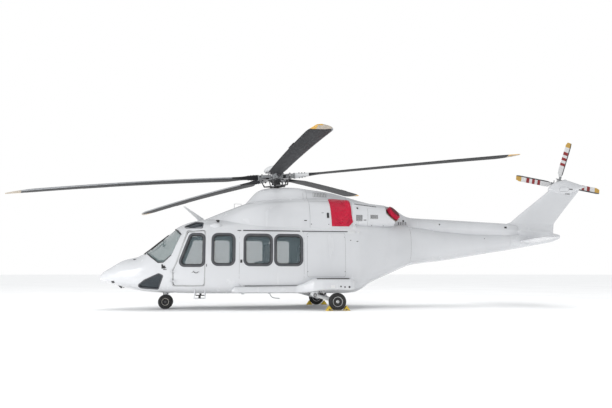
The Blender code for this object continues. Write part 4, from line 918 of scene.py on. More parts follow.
def outline_points(outline, grow=0.0, arc=6, straight=5):
    """A rounded outline in the side view, grown outwards, with points along its edges."""
    corners, radius = outline
    count = len(corners)
    corners = [Vector(corner) for corner in corners]
    area = sum(corners[i - 1].cross(corners[i]) for i in range(count))
    side = 1.0 if area > 0.0 else -1.0
    shifted = []
    for i in range(count):
        before = (corners[i] - corners[i - 1]).normalized()
        after = (corners[(i + 1) % count] - corners[i]).normalized()
        out_1 = Vector((before.y, -before.x)) * side
        out_2 = Vector((after.y, -after.x)) * side
        middle = (out_1 + out_2).normalized()
        shifted.append(corners[i] + middle * grow / max(0.3, middle.dot(out_1)))
    radius = max(0.004, radius + grow)
    result = []
    for i in range(count):
        back = (shifted[i - 1] - shifted[i]).normalized()
        ahead = (shifted[(i + 1) % count] - shifted[i]).normalized()
        half_angle = back.angle(ahead) / 2.0
        centre = shifted[i] + (back + ahead).normalized() * radius / sin(half_angle)
        first = shifted[i] + back * radius / tan(half_angle) - centre
        last = shifted[i] + ahead * radius / tan(half_angle) - centre
        sweep = first.angle_signed(last)
        for k in range(arc + 1):
            result.append(centre + Matrix.Rotation(-sweep * k / arc, 2) @ first)
    dense = []
    for i in range(count):
        group = result[i * (arc + 1):(i + 1) * (arc + 1)]
        following = result[((i + 1) * (arc + 1)) % len(result)]
        dense += group + [group[-1].lerp(following, k / straight) for k in range(1, straight)]
    return dense


def band(outline, profile, side, surface=skin_point, arc=6, straight=5):
    """A closed strip along an outline on the fuselage, from (offset, lift) points of its section."""
    rings = [outline_points(outline, offset, arc, straight) for offset, _ in profile]
    count = len(rings[0])

    def place(u, v):
        i = round(u * count) % count
        k = round(v * len(profile)) % len(profile)
        return surface(rings[k][i].x, rings[k][i].y, side, profile[k][1])

    return wrapped(place, count, len(profile))


INNER_SEAL_PROFILE = ((-0.004, 0.004), (-0.008, 0.007), (-0.026, 0.000), (-0.028, -0.0175), (-0.004, -0.0175))
WINDOWS = (("door_window", DOOR_WINDOW), ("front_window", FRONT_WINDOW), ("middle_window", MIDDLE_WINDOW),
           ("rear_window", REAR_WINDOW))


def build_window_seals():
    """Grey rubber frames of the side windows with their black inner lips."""
    reach = bpy.context.scene.helicopter_sizes.seal_reach
    profile = ((reach, 0.0), (reach, 0.004), (reach - 0.014, 0.009), (0.006, 0.011), (-0.008, 0.007),
               (-0.008, -0.019))
    for word, side in SIDES:
        for name, outline in WINDOWS:
            body = f"cockpit_door_{word}" if name == "door_window" else "airframe"
            placed(band(outline, profile, side), f"{name}_seal_{word}", "seal_grey", body=body)
            placed(band(outline, INNER_SEAL_PROFILE, side), f"{name}_lip_{word}", "seal_black", body=body)


# Outlines of the doors that show as seams, x and z of their corners, with the radius of the corners.
SEAMS = {
    "sliding_door": (((1.913, 0.635), (3.615, 0.635), (3.615, 2.085), (1.913, 2.085)), 0.05),
    "baggage_door": (((3.700, 0.860), (4.735, 0.860), (4.735, 2.030), (3.700, 2.030)), 0.05),
}


def build_panel_seams():
    """Thin seams round the sliding doors and the baggage doors."""
    half = bpy.context.scene.helicopter_sizes.seam_width / 2.0
    profile = ((half, -0.002), (half * 0.75, 0.0012), (-half * 0.75, 0.0012), (-half, -0.002))
    for word, side in SIDES:
        parts = [band(outline, profile, side, arc=4, straight=9) for outline in SEAMS.values()]
        placed(joined(*parts), f"panel_seams_{word}", "seam_line", sharp=30)


def cowl_ring(values, turn):
    """A point of one section of the upper works, its flat foot at the base."""
    x, top, half, square = values
    base = COWL_BASE_Z
    y = half * signed_power(cos(turn), 2.0 / square)
    if sin(turn) < 0.0:
        return Vector((x, y, base + 0.05 * sin(turn)))
    return Vector((x, y, base + (top - base) * signed_power(sin(turn), 2.0 / square)))


def cowl_form(table):
    """The closed form that runs through a table of the upper works."""
    start, end = table[0][0], table[-1][0]

    def place(u, v):
        return cowl_ring(row_at(table, start + (end - start) * v), tau * u)

    return wrapped(place, 72, 60)


def nacelle_form(side):
    """The closed form of one engine nacelle."""
    start, end = NACELLE[0][0] + 0.05, NACELLE[-1][0]

    def place(u, v):
        x, middle, half_height, offset, half_width = row_at(NACELLE, start + (end - start) * v)
        turn = tau * u
        return Vector((x, side * offset + half_width * signed_power(cos(turn), 0.8),
                       middle + half_height * signed_power(sin(turn), 0.8)))

    return wrapped(place, 56, 24)


def result_of(work):
    """The mesh of an object after its modifiers; the object goes."""
    result = bpy.data.meshes.new_from_object(work.evaluated_get(bpy.context.evaluated_depsgraph_get()))
    bpy.data.objects.remove(work, do_unlink=True)
    return result


def evaluated(bm, modifiers):
    """A bmesh after modifiers, each given as its kind and settings."""
    work = linked("work", mesh_of(bm, "work"))
    for kind, settings in modifiers:
        modifier = work.modifiers.new(kind.lower(), kind)
        for name, value in settings.items():
            setattr(modifier, name, value)
    bpy.context.view_layer.update()
    result = result_of(work)
    made = bmesh.new()
    made.from_mesh(result)
    bpy.data.meshes.remove(result)
    return made


def cut_away(bm, cutters):
    """A solid less some others, none of which may overlap another."""
    cutter = linked("cutter", mesh_of(joined(*cutters), "cutter"))
    result = evaluated(bm, (("BOOLEAN", {"operation": "DIFFERENCE", "object": cutter}),))
    bpy.data.objects.remove(cutter, do_unlink=True)
    return result


def softened(bm, voxel, rounds):
    """Solids melted into one skin with filleted joints."""
    return evaluated(bm, (
        ("REMESH", {"mode": "VOXEL", "voxel_size": voxel, "use_smooth_shade": True}),
        ("SMOOTH", {"factor": 0.5, "iterations": rounds})))


def part_between(bm, start, end):
    """What of a solid lies between two x values, closed at the cuts."""
    made = bm.copy()
    for x, outward in ((start, -1.0), (end, 1.0)):
        bmesh.ops.bisect_plane(made, geom=made.verts[:] + made.edges[:] + made.faces[:], dist=1e-6,
                               plane_co=(x, 0.0, 0.0), plane_no=(outward, 0.0, 0.0), clear_outer=True)
    return closed(made)


def exhaust_line(side):
    """Middle and direction of the exhaust on one side."""
    centre = Vector((EXHAUST_CENTRE.x, side * EXHAUST_CENTRE.y, EXHAUST_CENTRE.z))
    return centre, Vector((EXHAUST_AXIS.x, side * EXHAUST_AXIS.y, EXHAUST_AXIS.z))


def build_upper_works():
    """The cowlings as one filleted form, split where the real panels part, and the shaft cover."""
    form = softened(joined(cowl_form(COWL_LOW), cowl_form(COWL_HIGH), nacelle_form(-1), nacelle_form(1)),
                    COWL_VOXEL, 14)
    down = Vector((sin(MAST_TILT), 0.0, -cos(MAST_TILT)))
    pipes = [rod(HUB + down * 0.62, HUB, MAST_OPENING_RADIUS, edge=0.0, steps=48)]
    ends = []
    for side in (-1, 1):
        centre, along = exhaust_line(side)
        pipes.append(rod(centre - along * 0.10, centre + along * 0.10, EXHAUST_RADIUS + 0.004, edge=0.0,
                         steps=48))
        ends.append(rod(centre + along * 0.05, centre + along * 0.6, EXHAUST_RADIUS + 0.12, edge=0.0,
                        steps=48))
    form = cut_away(cut_away(form, ends), pipes)
    for name, start, end in zip(("cowl_front", "cowl_middle", "cowl_rear"), COWL_JOINTS, COWL_JOINTS[1:]):
        placed(part_between(form, start + COWL_GAP, end - COWL_GAP), f"{name}_skin", "white_gloss", (name,),
               sharp=35)
    form.free()

    start, end = SHAFT_COVER[0][0] + 0.022, SHAFT_COVER[-1][0] - 0.01

    def place(u, v):
        x, top, half, edge, foot = row_at(SHAFT_COVER, start + (end - start) * v)
        if SHAFT_COVER_SKIRT <= u <= 1.0 - SHAFT_COVER_SKIRT:
            turn = pi * (u - SHAFT_COVER_SKIRT) / (1.0 - 2.0 * SHAFT_COVER_SKIRT)
            return Vector((x, half * signed_power(cos(turn), 0.6),
                           edge + (top - edge) * signed_power(sin(turn), 0.6)))
        side = 1.0 if u < 0.5 else -1.0
        share = min(u, 1.0 - u) / SHAFT_COVER_SKIRT
        return Vector((x, side * half * (0.70 + 0.30 * share), foot + (edge - foot) * share))

    placed(wrapped(place, 50, 60), "drive_shaft_cover_skin", "white_gloss", ("drive_shaft_cover",), sharp=35)


def airfoil_point(u, chord, half_thickness):
    """A point of a symmetric airfoil, from the trailing edge over the top and back."""
    turn = tau * u
    along = chord * (0.5 + 0.5 * cos(turn))
    return along, half_thickness * sin(turn) * (1.0 - 0.45 * cos(turn))


def share_ahead(u):
    """How far ahead along the chord a place round the section is: 1 on the leading edge."""
    return 0.5 - 0.5 * cos(tau * u)


def build_tail_unit():
    """Boom end, fin, gearbox fairing and the stabiliser halves."""
    x0, x1 = 9.948, BODY[-1][0]

    def boom_end(u, v):
        x, low, high, half, waist, square_low, square_high = row_at(BODY, x0 + (x1 - x0) * v)
        turn = tau * u
        square = square_high if sin(turn) > 0.0 else square_low
        reach = high - waist if sin(turn) > 0.0 else waist - low
        return Vector((x, half * signed_power(cos(turn), 2.0 / square),
                       waist + reach * signed_power(sin(turn), 2.0 / square)))

    placed(wrapped(boom_end, 64, 40), "boom_end_skin", "white_gloss", sharp=35)

    def fin(u, v):
        z = FIN[0][0] + (FIN[-1][0] - FIN[0][0]) * v
        _, lead, trail, half = straight_rows(FIN, z)[0]
        flare = 0.10 * exp(-max(0.0, z - 2.20) / 0.07)
        along, across = airfoil_point(u, trail - lead, half + flare)
        return Vector((lead + along, across, z))

    placed(wrapped(fin, 56, 90), "fin_skin", "white_gloss", ("tail_fin",), sharp=35)

    def fairing(u, v):
        share = 0.5 - 0.5 * cos(pi * v)
        x = GEARBOX_FAIRING[0][0] + (GEARBOX_FAIRING[-1][0] - GEARBOX_FAIRING[0][0]) * share
        _, middle, half_height, half_width = row_at(GEARBOX_FAIRING, x)
        turn = tau * u
        return Vector((x, half_width * cos(turn), middle + half_height * sin(turn)))

    hub = Vector((TAIL_HUB.x, 0.0, TAIL_HUB.z))
    parts = [wrapped(fairing, 40, 48),
             lathed(((0.0, 0.105), (0.5, 0.085), (0.9, 0.077), (1.0, 0.070)),
                    hub, hub + Vector((0.0, 0.24, 0.0)))]
    placed(joined(*parts), "gearbox_fairing", "white_gloss", sharp=35)

    for word, side in SIDES:
        def half_plane(u, v):
            y, lead, trail, z, half = straight_rows(STABILISER, STABILISER[0][0] + 1.92 * v)[0]
            past = max(0.0, (y - 1.96) / 0.06)
            round_end = sqrt(max(0.0, 1.0 - past ** 2))
            along, across = airfoil_point(u, trail - lead, half * max(0.05, round_end))
            return Vector((lead + along, side * y, z - across))

        placed(wrapped(half_plane, 40, 48), f"stabiliser_{word}_skin", "white_gloss",
               (f"stabiliser_{word}",), sharp=35)


def build_sponsons():
    """The frame's sponsons with softened edges."""
    for word, _ in SIDES:
        bm = softened(node_copy(f"sponson_{word}"), SPONSON_VOXEL, 11)
        placed(bm, f"sponson_{word}_skin", "white_gloss", (f"sponson_{word}",), sharp=50)


def blade_frame(i):
    """The frame of one main blade: +X outwards along it and +Z up the mast."""
    return ROTOR_PLACE @ Matrix.Rotation(FIRST_BLADE + radians(BLADE_STEP * i + BLADES[i][0]), 4, "Z")


def blade_place(i):
    """Gives the point of one main blade for a share round its section and a radius."""
    droop = BLADES[i][1]
    shorten = droop * droop / (2.0 * MAIN_RADIUS)
    root = BLADE_STATIONS[0][0]
    turn = blade_frame(i)

    def place(u, radius, lift=0.0):
        _, chord_share, thick_share, sweep, lead_share = row_at(BLADE_STATIONS, radius)
        share = (radius - root) / (MAIN_RADIUS - root)
        out = radius - shorten * share
        width = MAIN_CHORD * chord_share
        pitch = PITCH_AT_ROOT + (PITCH_AT_TIP - PITCH_AT_ROOT) * out / (MAIN_RADIUS - shorten)
        along, across = airfoil_point(u, width, BLADE_THICKNESS * thick_share / 2.0 + lift)
        y = width * lead_share - sweep - along
        return turn @ Vector((out, y * cos(pitch) - across * sin(pitch),
                              y * sin(pitch) + across * cos(pitch) - droop * share * out / MAIN_RADIUS))

    return place


def build_main_blades():
    """Five blades with a metal strip on the leading edge and a coloured tip."""
    tip_start = MAIN_RADIUS - bpy.context.scene.helicopter_sizes.tip_length
    root = BLADE_STATIONS[0][0]
    for i in range(len(BLADES)):
        point = blade_place(i)

        def place(u, v):
            return point(u, root + (MAIN_RADIUS - root) * v)

        def finish_at(u, v):
            radius = root + (MAIN_RADIUS - root) * v
            chordwise = share_ahead(u)
            # Only one blade's root is white; the dark blade paint on the roots of the others is painted
            # shade.
            if radius < CUFF_END:
                return 4 if i == UNSHADED_CUFF_BLADE else 0
            if radius > tip_start:
                return 2 if chordwise > 0.25 else 3
            if chordwise > 0.93 and radius > STRIP_START:
                return 1
            return 0

        bm = wrapped(place, 48, 96, finish_at)
        placed(bm, f"main_blade_{i + 1}_skin",
               ("blade_paint", "blade_strip", "tip_beige", "tip_amber", "white_satin"),
               (f"main_blade_{i + 1}",), "main_rotor")


def build_tail_rotor():
    """Four banded blades."""
    for i, degrees in enumerate(TAIL_BLADES):
        turn = Matrix.Translation(TAIL_HUB) @ Matrix.Rotation(-radians(degrees), 4, "Y")
        root = TAIL_STATIONS[0][0]

        def place(u, v):
            _, chord_share, thick_share = straight_rows(TAIL_STATIONS, root + (TAIL_RADIUS - root) * v)[0]
            width = TAIL_CHORD * chord_share
            along, across = airfoil_point(u, width, TAIL_THICKNESS * thick_share / 2.0)
            return turn @ Vector((root + (TAIL_RADIUS - root) * v, across, along - width * 0.28))

        def finish_at(u, v):
            radius = root + (TAIL_RADIUS - root) * v
            chordwise = share_ahead(u)
            if chordwise > 0.80 and radius > 0.30:
                return 3
            return next(index for end, index in TAIL_BANDS if radius <= end * TAIL_RADIUS + 1e-6)

        bm = wrapped(place, 40, 90, finish_at)
        placed(bm, f"tail_blade_{i + 1}_skin", ("band_white", "band_red", "band_ochre", "dark_steel"),
               (f"tail_blade_{i + 1}",), "tail_rotor")


def sideways(y):
    """A vector along the axles."""
    return Vector((0.0, y, 0.0))


def wheel_parts(centre, radius, half, rim_radius, side, grooves=4):
    """Tyre and rim of one wheel about a line along Y; side points to its outer face."""
    groove = bpy.context.scene.helicopter_sizes.groove_depth
    start, end = centre - sideways(half * side), centre + sideways(half * side)
    tyre = [(0.16, rim_radius * 0.98), (0.07, rim_radius * 1.02), (0.0, radius * 0.72), (0.01, radius * 0.84),
            (0.07, radius * 0.93), (0.16, radius * 0.975)]
    for i in range(grooves):
        middle = 0.26 + 0.48 * i / (grooves - 1)
        crown = radius * (1.0 - 0.022 * abs(middle - 0.5) * 2.0)
        for offset, depth in ((-0.018, 0.0), (-0.010, groove), (0.010, groove), (0.018, 0.0)):
            tyre.append((middle + offset, crown - depth))
    tyre += [(1.0 - share, r) for share, r in reversed(tyre[:6])]
    rim = [(0.10, 0.033), (0.30, 0.033), (0.30, rim_radius * 0.86), (0.12, rim_radius * 0.93),
           (0.10, rim_radius * 1.03), (0.16, rim_radius * 1.0), (0.84, rim_radius * 1.0),
           (0.90, rim_radius * 1.03), (0.88, rim_radius * 0.93), (0.74, rim_radius * 0.84),
           (0.70, rim_radius * 0.55), (0.80, rim_radius * 0.45), (0.84, 0.033), (0.10, 0.033)]
    return turned(tyre, start, end, 64), turned(rim, start, end, 48)


def build_wheels():
    """Grooved tyres on their rims, two at the nose and one at each main leg."""
    parts = [(rod(NOSE_AXLE - sideways(0.155), NOSE_AXLE + sideways(0.155), 0.029), 2)]
    for side in (-1, 1):
        centre = NOSE_AXLE + sideways(side * 0.115)
        tyre, rim = wheel_parts(centre, 0.193, 0.0525, 0.095, side, grooves=3)
        cap = rod(centre + sideways(side * 0.015), centre + sideways(side * 0.050), 0.036, 0.030)
        parts += [(tyre, 0), (rim, 1), (cap, 2)]
    placed(gathered(parts), "nose_wheel_pair_fine", ("tyre", "wheel_cream", "dark_steel"), ("nose_wheels",),
           "nose_wheel_pair", sharp=35)
    for word, side in SIDES:
        centre = Vector((MAIN_AXLE.x, side * MAIN_AXLE.y, MAIN_AXLE.z))
        tyre, rim = wheel_parts(centre, 0.2285, 0.075, 0.128, side)
        cap = rod(centre + sideways(side * 0.050), centre + sideways(side * 0.066), 0.044, 0.034)
        parts = [(tyre, 0), (rim, 1), (cap, 1)]
        for k in range(9):
            turn = tau * k / 9
            foot = centre + Vector((0.088 * cos(turn), side * 0.028, 0.088 * sin(turn)))
            parts.append((rod(foot, foot + sideways(side * 0.014), 0.008, steps=6), 2))
        placed(gathered(parts), f"main_wheel_{word}_fine", ("tyre", "wheel_silver", "dark_steel"),
               (f"main_wheel_{word}",), f"main_wheel_{word}", sharp=35)


def simulated(mesh, settings, held=None, gravity=0.0, frames=20):
    """Where a mesh's points end after a cloth simulation, with those of full weight held still."""
    scene = bpy.context.scene
    work = linked("cloth_work", mesh)
    cloth = work.modifiers.new("cloth", "CLOTH")
    if held is not None:
        group = work.vertex_groups.new(name="held")
        for index, weight in enumerate(held):
            group.add([index], weight, "REPLACE")
        cloth.settings.vertex_group_mass = "held"
    for name, value in settings.items():
        setattr(cloth.settings, name, value)
    cloth.settings.effector_weights.gravity = gravity
    cloth.point_cache.frame_start = 1
    cloth.point_cache.frame_end = frames
    for number in range(1, frames + 1):
        scene.frame_set(number)
    result = result_of(work)
    points = coordinates(result)
    bpy.data.meshes.remove(result)
    scene.frame_set(1)
    return points


def capped(before, after, most):
    """Moved points, none further than a limit from where it was."""
    move = after - before
    length = np.maximum(np.linalg.norm(move, axis=1), 1e-9)
    return before + move * np.minimum(1.0, most / length)[:, None]


def inflated(bm, voxel, pressure=4.0, most=0.012):
    """A closed soft form remeshed and swollen by a cloth simulation."""
    start = evaluated(bm, (("REMESH", {"mode": "VOXEL", "voxel_size": voxel}),))
    mesh = bpy.data.meshes.new("soft_form")
    start.to_mesh(mesh)
    before = coordinates(mesh)
    after = simulated(mesh, {"use_pressure": True, "uniform_pressure_force": pressure,
                             "tension_stiffness": 12.0, "bending_stiffness": 0.6})
    for vert, place in zip(start.verts, capped(before, after, most)):
        vert.co = place
    bpy.data.meshes.remove(mesh)
    return start


def blade_root_parts():
    """What holds one main blade, along +X: straps, bearing, pitch housing, damper and pitch link."""
    parts = []
    for up in (-1.0, 1.0):
        low, high = sorted((up * 0.046, up * 0.072))
        parts.append((block((0.12, -0.060, low), (0.46, 0.060, high), 0.010), 0))
        for x in (0.205, 0.415):
            parts.append((bolt((x, 0.0, up * 0.072), (0.0, 0.0, up), 0.024, 0.026), 2))
    rings = [(0.0, 0.0), (0.0, 0.040)]
    for k in range(6):
        rings += [(0.06 + 0.14 * k, 0.044), (0.13 + 0.14 * k, 0.044), (0.14 + 0.14 * k, 0.036)]
    rings += [(1.0, 0.036), (1.0, 0.0)]
    parts.append((turned(rings, (0.17, 0.0, 0.0), (0.33, 0.0, 0.0), 24), 3))
    housing = ((0.0, 0.043), (0.05, 0.050), (0.42, 0.052), (0.50, 0.070), (0.80, 0.068),
               (0.86, 0.084), (0.97, 0.084), (1.0, 0.080))
    parts += [
        (lathed(housing, (0.30, 0.0, 0.0), (0.5598, 0.0, 0.0), 32), 1),
        (bolt_ring((0.522, 0.0, 0.0), (-1.0, 0.0, 0.0), 0.074, 8, 0.007, 0.012), 2),
    ]
    damper = ((0.0, 0.020), (0.10, 0.024), (0.14, 0.040), (0.20, 0.040), (0.22, 0.034), (0.74, 0.034),
              (0.76, 0.041), (0.82, 0.041), (0.86, 0.020), (1.0, 0.018))
    parts += [
        (lathed(damper, (0.19, 0.140, 0.0), (0.53, 0.130, 0.03), 24), 1),
        (rod((0.205, 0.050, 0.0), (0.205, 0.150, 0.0), 0.020), 2),
        (rod((0.515, 0.055, 0.02), (0.515, 0.150, 0.03), 0.018), 2),
        (rod((0.42, -0.03, 0.0), (0.42, -0.165, 0.0), 0.034, 0.022), 1),
        (ball((0.42, -0.17, 0.0), (0.030, 0.030, 0.030)), 0),
    ]
    top, foot = Vector((0.42, -0.17, -0.015)), Vector((0.325, -0.115, -0.235))
    link = ((0.0, 0.012), (0.10, 0.012), (0.12, 0.020), (0.20, 0.020), (0.22, 0.014), (0.80, 0.014),
            (0.82, 0.020), (0.90, 0.020), (0.92, 0.012), (1.0, 0.012))
    parts += [
        (lathed(link, top, foot, 16), 2),
        (ball(foot, (0.024, 0.024, 0.024)), 2),
        (rod((0.150, -0.055, -0.250), (0.330, -0.117, -0.250), 0.024, 0.017), 2),
    ]
    return gathered(parts)


def build_rotor_head():
    """Mast, swashplate, hub and the five blade roots with their dampers and pitch links."""
    hub = ((0.0, 0.17), (0.10, 0.21), (0.36, 0.232), (0.64, 0.232), (0.90, 0.21), (1.0, 0.17))
    centre = [
        (rod((0.0, 0.0, -0.33), (0.0, 0.0, -0.07), 0.074, 0.072, steps=32), 2),
        (lathed(hub, (0.0, 0.0, -0.075), (0.0, 0.0, 0.075), 60), 1),
        (lathed(((0.0, 0.150), (0.3, 0.140), (0.9, 0.135), (1.0, 0.125)),
                (0.0, 0.0, 0.070), (0.0, 0.0, 0.1545), 40), 2),
        (lathed(((0.0, 0.120), (0.1, 0.130), (0.5, 0.115), (0.6, 0.150), (0.9, 0.150), (1.0, 0.090)),
                (0.0, 0.0, -0.232), (0.0, 0.0, -0.07), 40), 3),
        (lathed(((0.0, 0.175), (0.2, 0.190), (0.8, 0.190), (1.0, 0.180)),
                (0.0, 0.0, -0.290), (0.0, 0.0, -0.264), 48), 2),
        (lathed(((0.0, 0.180), (0.2, 0.190), (0.8, 0.190), (1.0, 0.165)),
                (0.0, 0.0, -0.262), (0.0, 0.0, -0.235), 48), 0),
        (bolt_ring((0.0, 0.0, 0.075), (0.0, 0.0, 1.0), 0.192, 10, 0.010, 0.010), 0),
        (bolt_ring((0.0, 0.0, -0.235), (0.0, 0.0, 1.0), 0.150, 15, 0.007, 0.007), 2),
    ]
    for sign in (-1.0, 1.0):
        knee = (0.20, sign * 0.03, -0.165)
        centre += [
            (rod((0.09, sign * 0.03, -0.10), knee, 0.016), 1),
            (rod(knee, (0.15, sign * 0.03, -0.24), 0.016), 1),
        ]
    root = blade_root_parts()
    parts = [moved(root.copy(), blade_frame(i)) for i in range(len(BLADES))]
    root.free()
    bm = joined(moved(gathered(centre), ROTOR_PLACE), *parts)
    placed(bm, "rotor_head_fine", ("steel", "cast_grey", "dark_steel", "black_plastic"), ("rotor_head",),
           "main_rotor", sharp=35)

    dome = [(0.0, 0.0), (0.0, 0.235), (0.02, 0.292), (0.06, 0.300), (0.16, 0.305)]
    for k in range(0, 19):
        turn = radians(5.0 * k)
        dome.append((0.24 + 0.76 * sin(turn), 0.310 * cos(turn)))
    parts = [(turned(dome, (0.0, 0.0, 0.1556), (0.0, 0.0, 0.3450), 64), 0),
             (turned(((0.0, 0.304), (0.0, 0.3112), (1.0, 0.3125), (1.0, 0.304), (0.0, 0.304)),
                     (0.0, 0.0, 0.188), (0.0, 0.0, 0.194), 64), 1)]
    for k in range(12):
        turn = radians(30.0 * k + 9.0)
        out = Vector((cos(turn), sin(turn), 0.0))
        foot = out * 0.2975 + Vector((0.0, 0.0, 0.225))
        parts.append((rod(foot, foot + (out + Vector((0.0, 0.0, 0.45))).normalized() * 0.010, 0.009,
                          steps=10), 1))
    placed(moved(gathered(parts), ROTOR_PLACE), "rotor_cap_fine", ("white_satin", "seam_line"),
           ("rotor_cap",), "main_rotor")


def build_tail_hub():
    """Shaft, yoke, pitch spindle, grips, links and counterweights of the tail rotor."""
    parts = [
        (lathed(((0.0, 0.050), (0.30, 0.050), (0.32, 0.054), (0.50, 0.054), (0.52, 0.046), (1.0, 0.046)),
                (0.0, -0.140, 0.0), (0.0, -0.020, 0.0), 32), 0),
        (lathed(((0.0, 0.085), (0.2, 0.104), (0.8, 0.104), (1.0, 0.085)),
                (0.0, -0.035, 0.0), (0.0, 0.035, 0.0), 40), 1),
        (lathed(((0.0, 0.034), (0.45, 0.034), (0.47, 0.050), (0.70, 0.050), (0.72, 0.030), (0.90, 0.030),
                 (1.0, 0.022)), (0.0, 0.030, 0.0), (0.0, 0.130, 0.0), 24), 0),
        (bolt_ring((0.0, 0.035, 0.0), (0.0, 1.0, 0.0), 0.075, 8, 0.008, 0.008), 0),
    ]
    grip = ((0.0, 0.030), (0.15, 0.034), (0.30, 0.042), (0.55, 0.042), (0.60, 0.034), (0.85, 0.032),
            (0.88, 0.040), (0.97, 0.040), (1.0, 0.036))
    arm = gathered([
        (lathed(grip, (0.06, 0.0, 0.0), (0.2598, 0.0, 0.0), 24), 1),
        (bolt((0.115, 0.036, 0.0), (0.0, 1.0, 0.0), 0.013, 0.012), 0),
        (bolt((0.215, 0.030, 0.0), (0.0, 1.0, 0.0), 0.011, 0.012), 0),
        (rod((0.02, 0.100, 0.0), (0.19, 0.100, 0.02), 0.012), 0),
        (ball((0.19, 0.100, 0.02), (0.018, 0.018, 0.018)), 2),
        (rod((0.185, 0.105, 0.02), (0.185, 0.0, 0.02), 0.011), 0),
        (rod((0.165, 0.02, 0.03), (0.165, 0.02, 0.105), 0.009), 2),
        (rod((0.165, 0.02, 0.075), (0.165, 0.02, 0.115), 0.024), 3),
        (rod((0.165, -0.02, -0.03), (0.165, -0.02, -0.075), 0.009), 2),
        (rod((0.165, -0.02, -0.070), (0.165, -0.02, -0.105), 0.022), 3),
    ])
    arms = [moved(arm.copy(), Matrix.Rotation(-radians(degrees), 4, "Y")) for degrees in TAIL_BLADES]
    arm.free()
    placed(moved(joined(gathered(parts), *arms), Matrix.Translation(TAIL_HUB)), "tail_rotor_hub_fine",
           ("steel", "cast_grey", "dark_steel", "band_white"), ("tail_rotor_hub",), "tail_rotor",
           sharp=35)


# Intake cover: how its front and rear edges run, as z and x.
COVER_FRONT = ((2.22, 4.404), (2.95, 4.366), (3.05, 4.43))
COVER_REAR = ((2.22, 4.872), (2.345, 4.985), (2.52, 4.950), (3.00, 4.915))
# How the cover goes round the cowling: first and last angle in degrees about an axis along x.
COVER_ANGLES = (-6.5, 69.5)
COVER_AXIS = Vector((0.0, 0.30, 2.30))
# The cloth of the simulation, and how far the covers stay off the cowling at least.
COVER_CLOTH = {"mass": 0.25, "shrink_min": -0.035, "tension_stiffness": 18.0, "bending_stiffness": 0.35,
               "quality": 6}
COVER_CLEARANCE = 0.007
# Creases, as the shares across and up of both ends.
COVER_CREASES = ((0.10, 0.56, 0.62, 0.97), (0.22, 0.50, 0.80, 0.90), (0.30, 0.40, 0.94, 0.74),
                 (0.12, 0.38, 0.50, 0.56), (0.40, 0.12, 0.92, 0.34), (0.55, 0.06, 0.90, 0.16))


def cover_lift(u, v):
    """How far the intake cover's cloth stands off the cowling before it is simulated."""
    inside = min(u, 1.0 - u, v * 1.6, (1.0 - v) * 1.6) * 4.0
    edge = min(1.0, max(0.0, inside))
    bulge = 0.010 * exp(-((u - 0.66) / 0.26) ** 2 - ((v - 0.26) / 0.20) ** 2)
    folds = 0.0
    for u0, v0, u1, v1 in COVER_CREASES:
        along = Vector((u1 - u0, v1 - v0))
        share = min(1.0, max(0.0, Vector((u - u0, v - v0)).dot(along) / along.length_squared))
        bow = 0.05 * sin(pi * share)
        away = (Vector((u - u0, v - v0)) - along * share).length - bow
        folds += 0.0055 * exp(-(away / 0.022) ** 2) * sin(pi * min(1.0, share + 0.12))
    slack = 0.0035 * noise.noise(Vector((u * 5.0, v * 7.0, 3.7)))
    return 0.008 + edge * (0.008 + bulge + folds + slack)


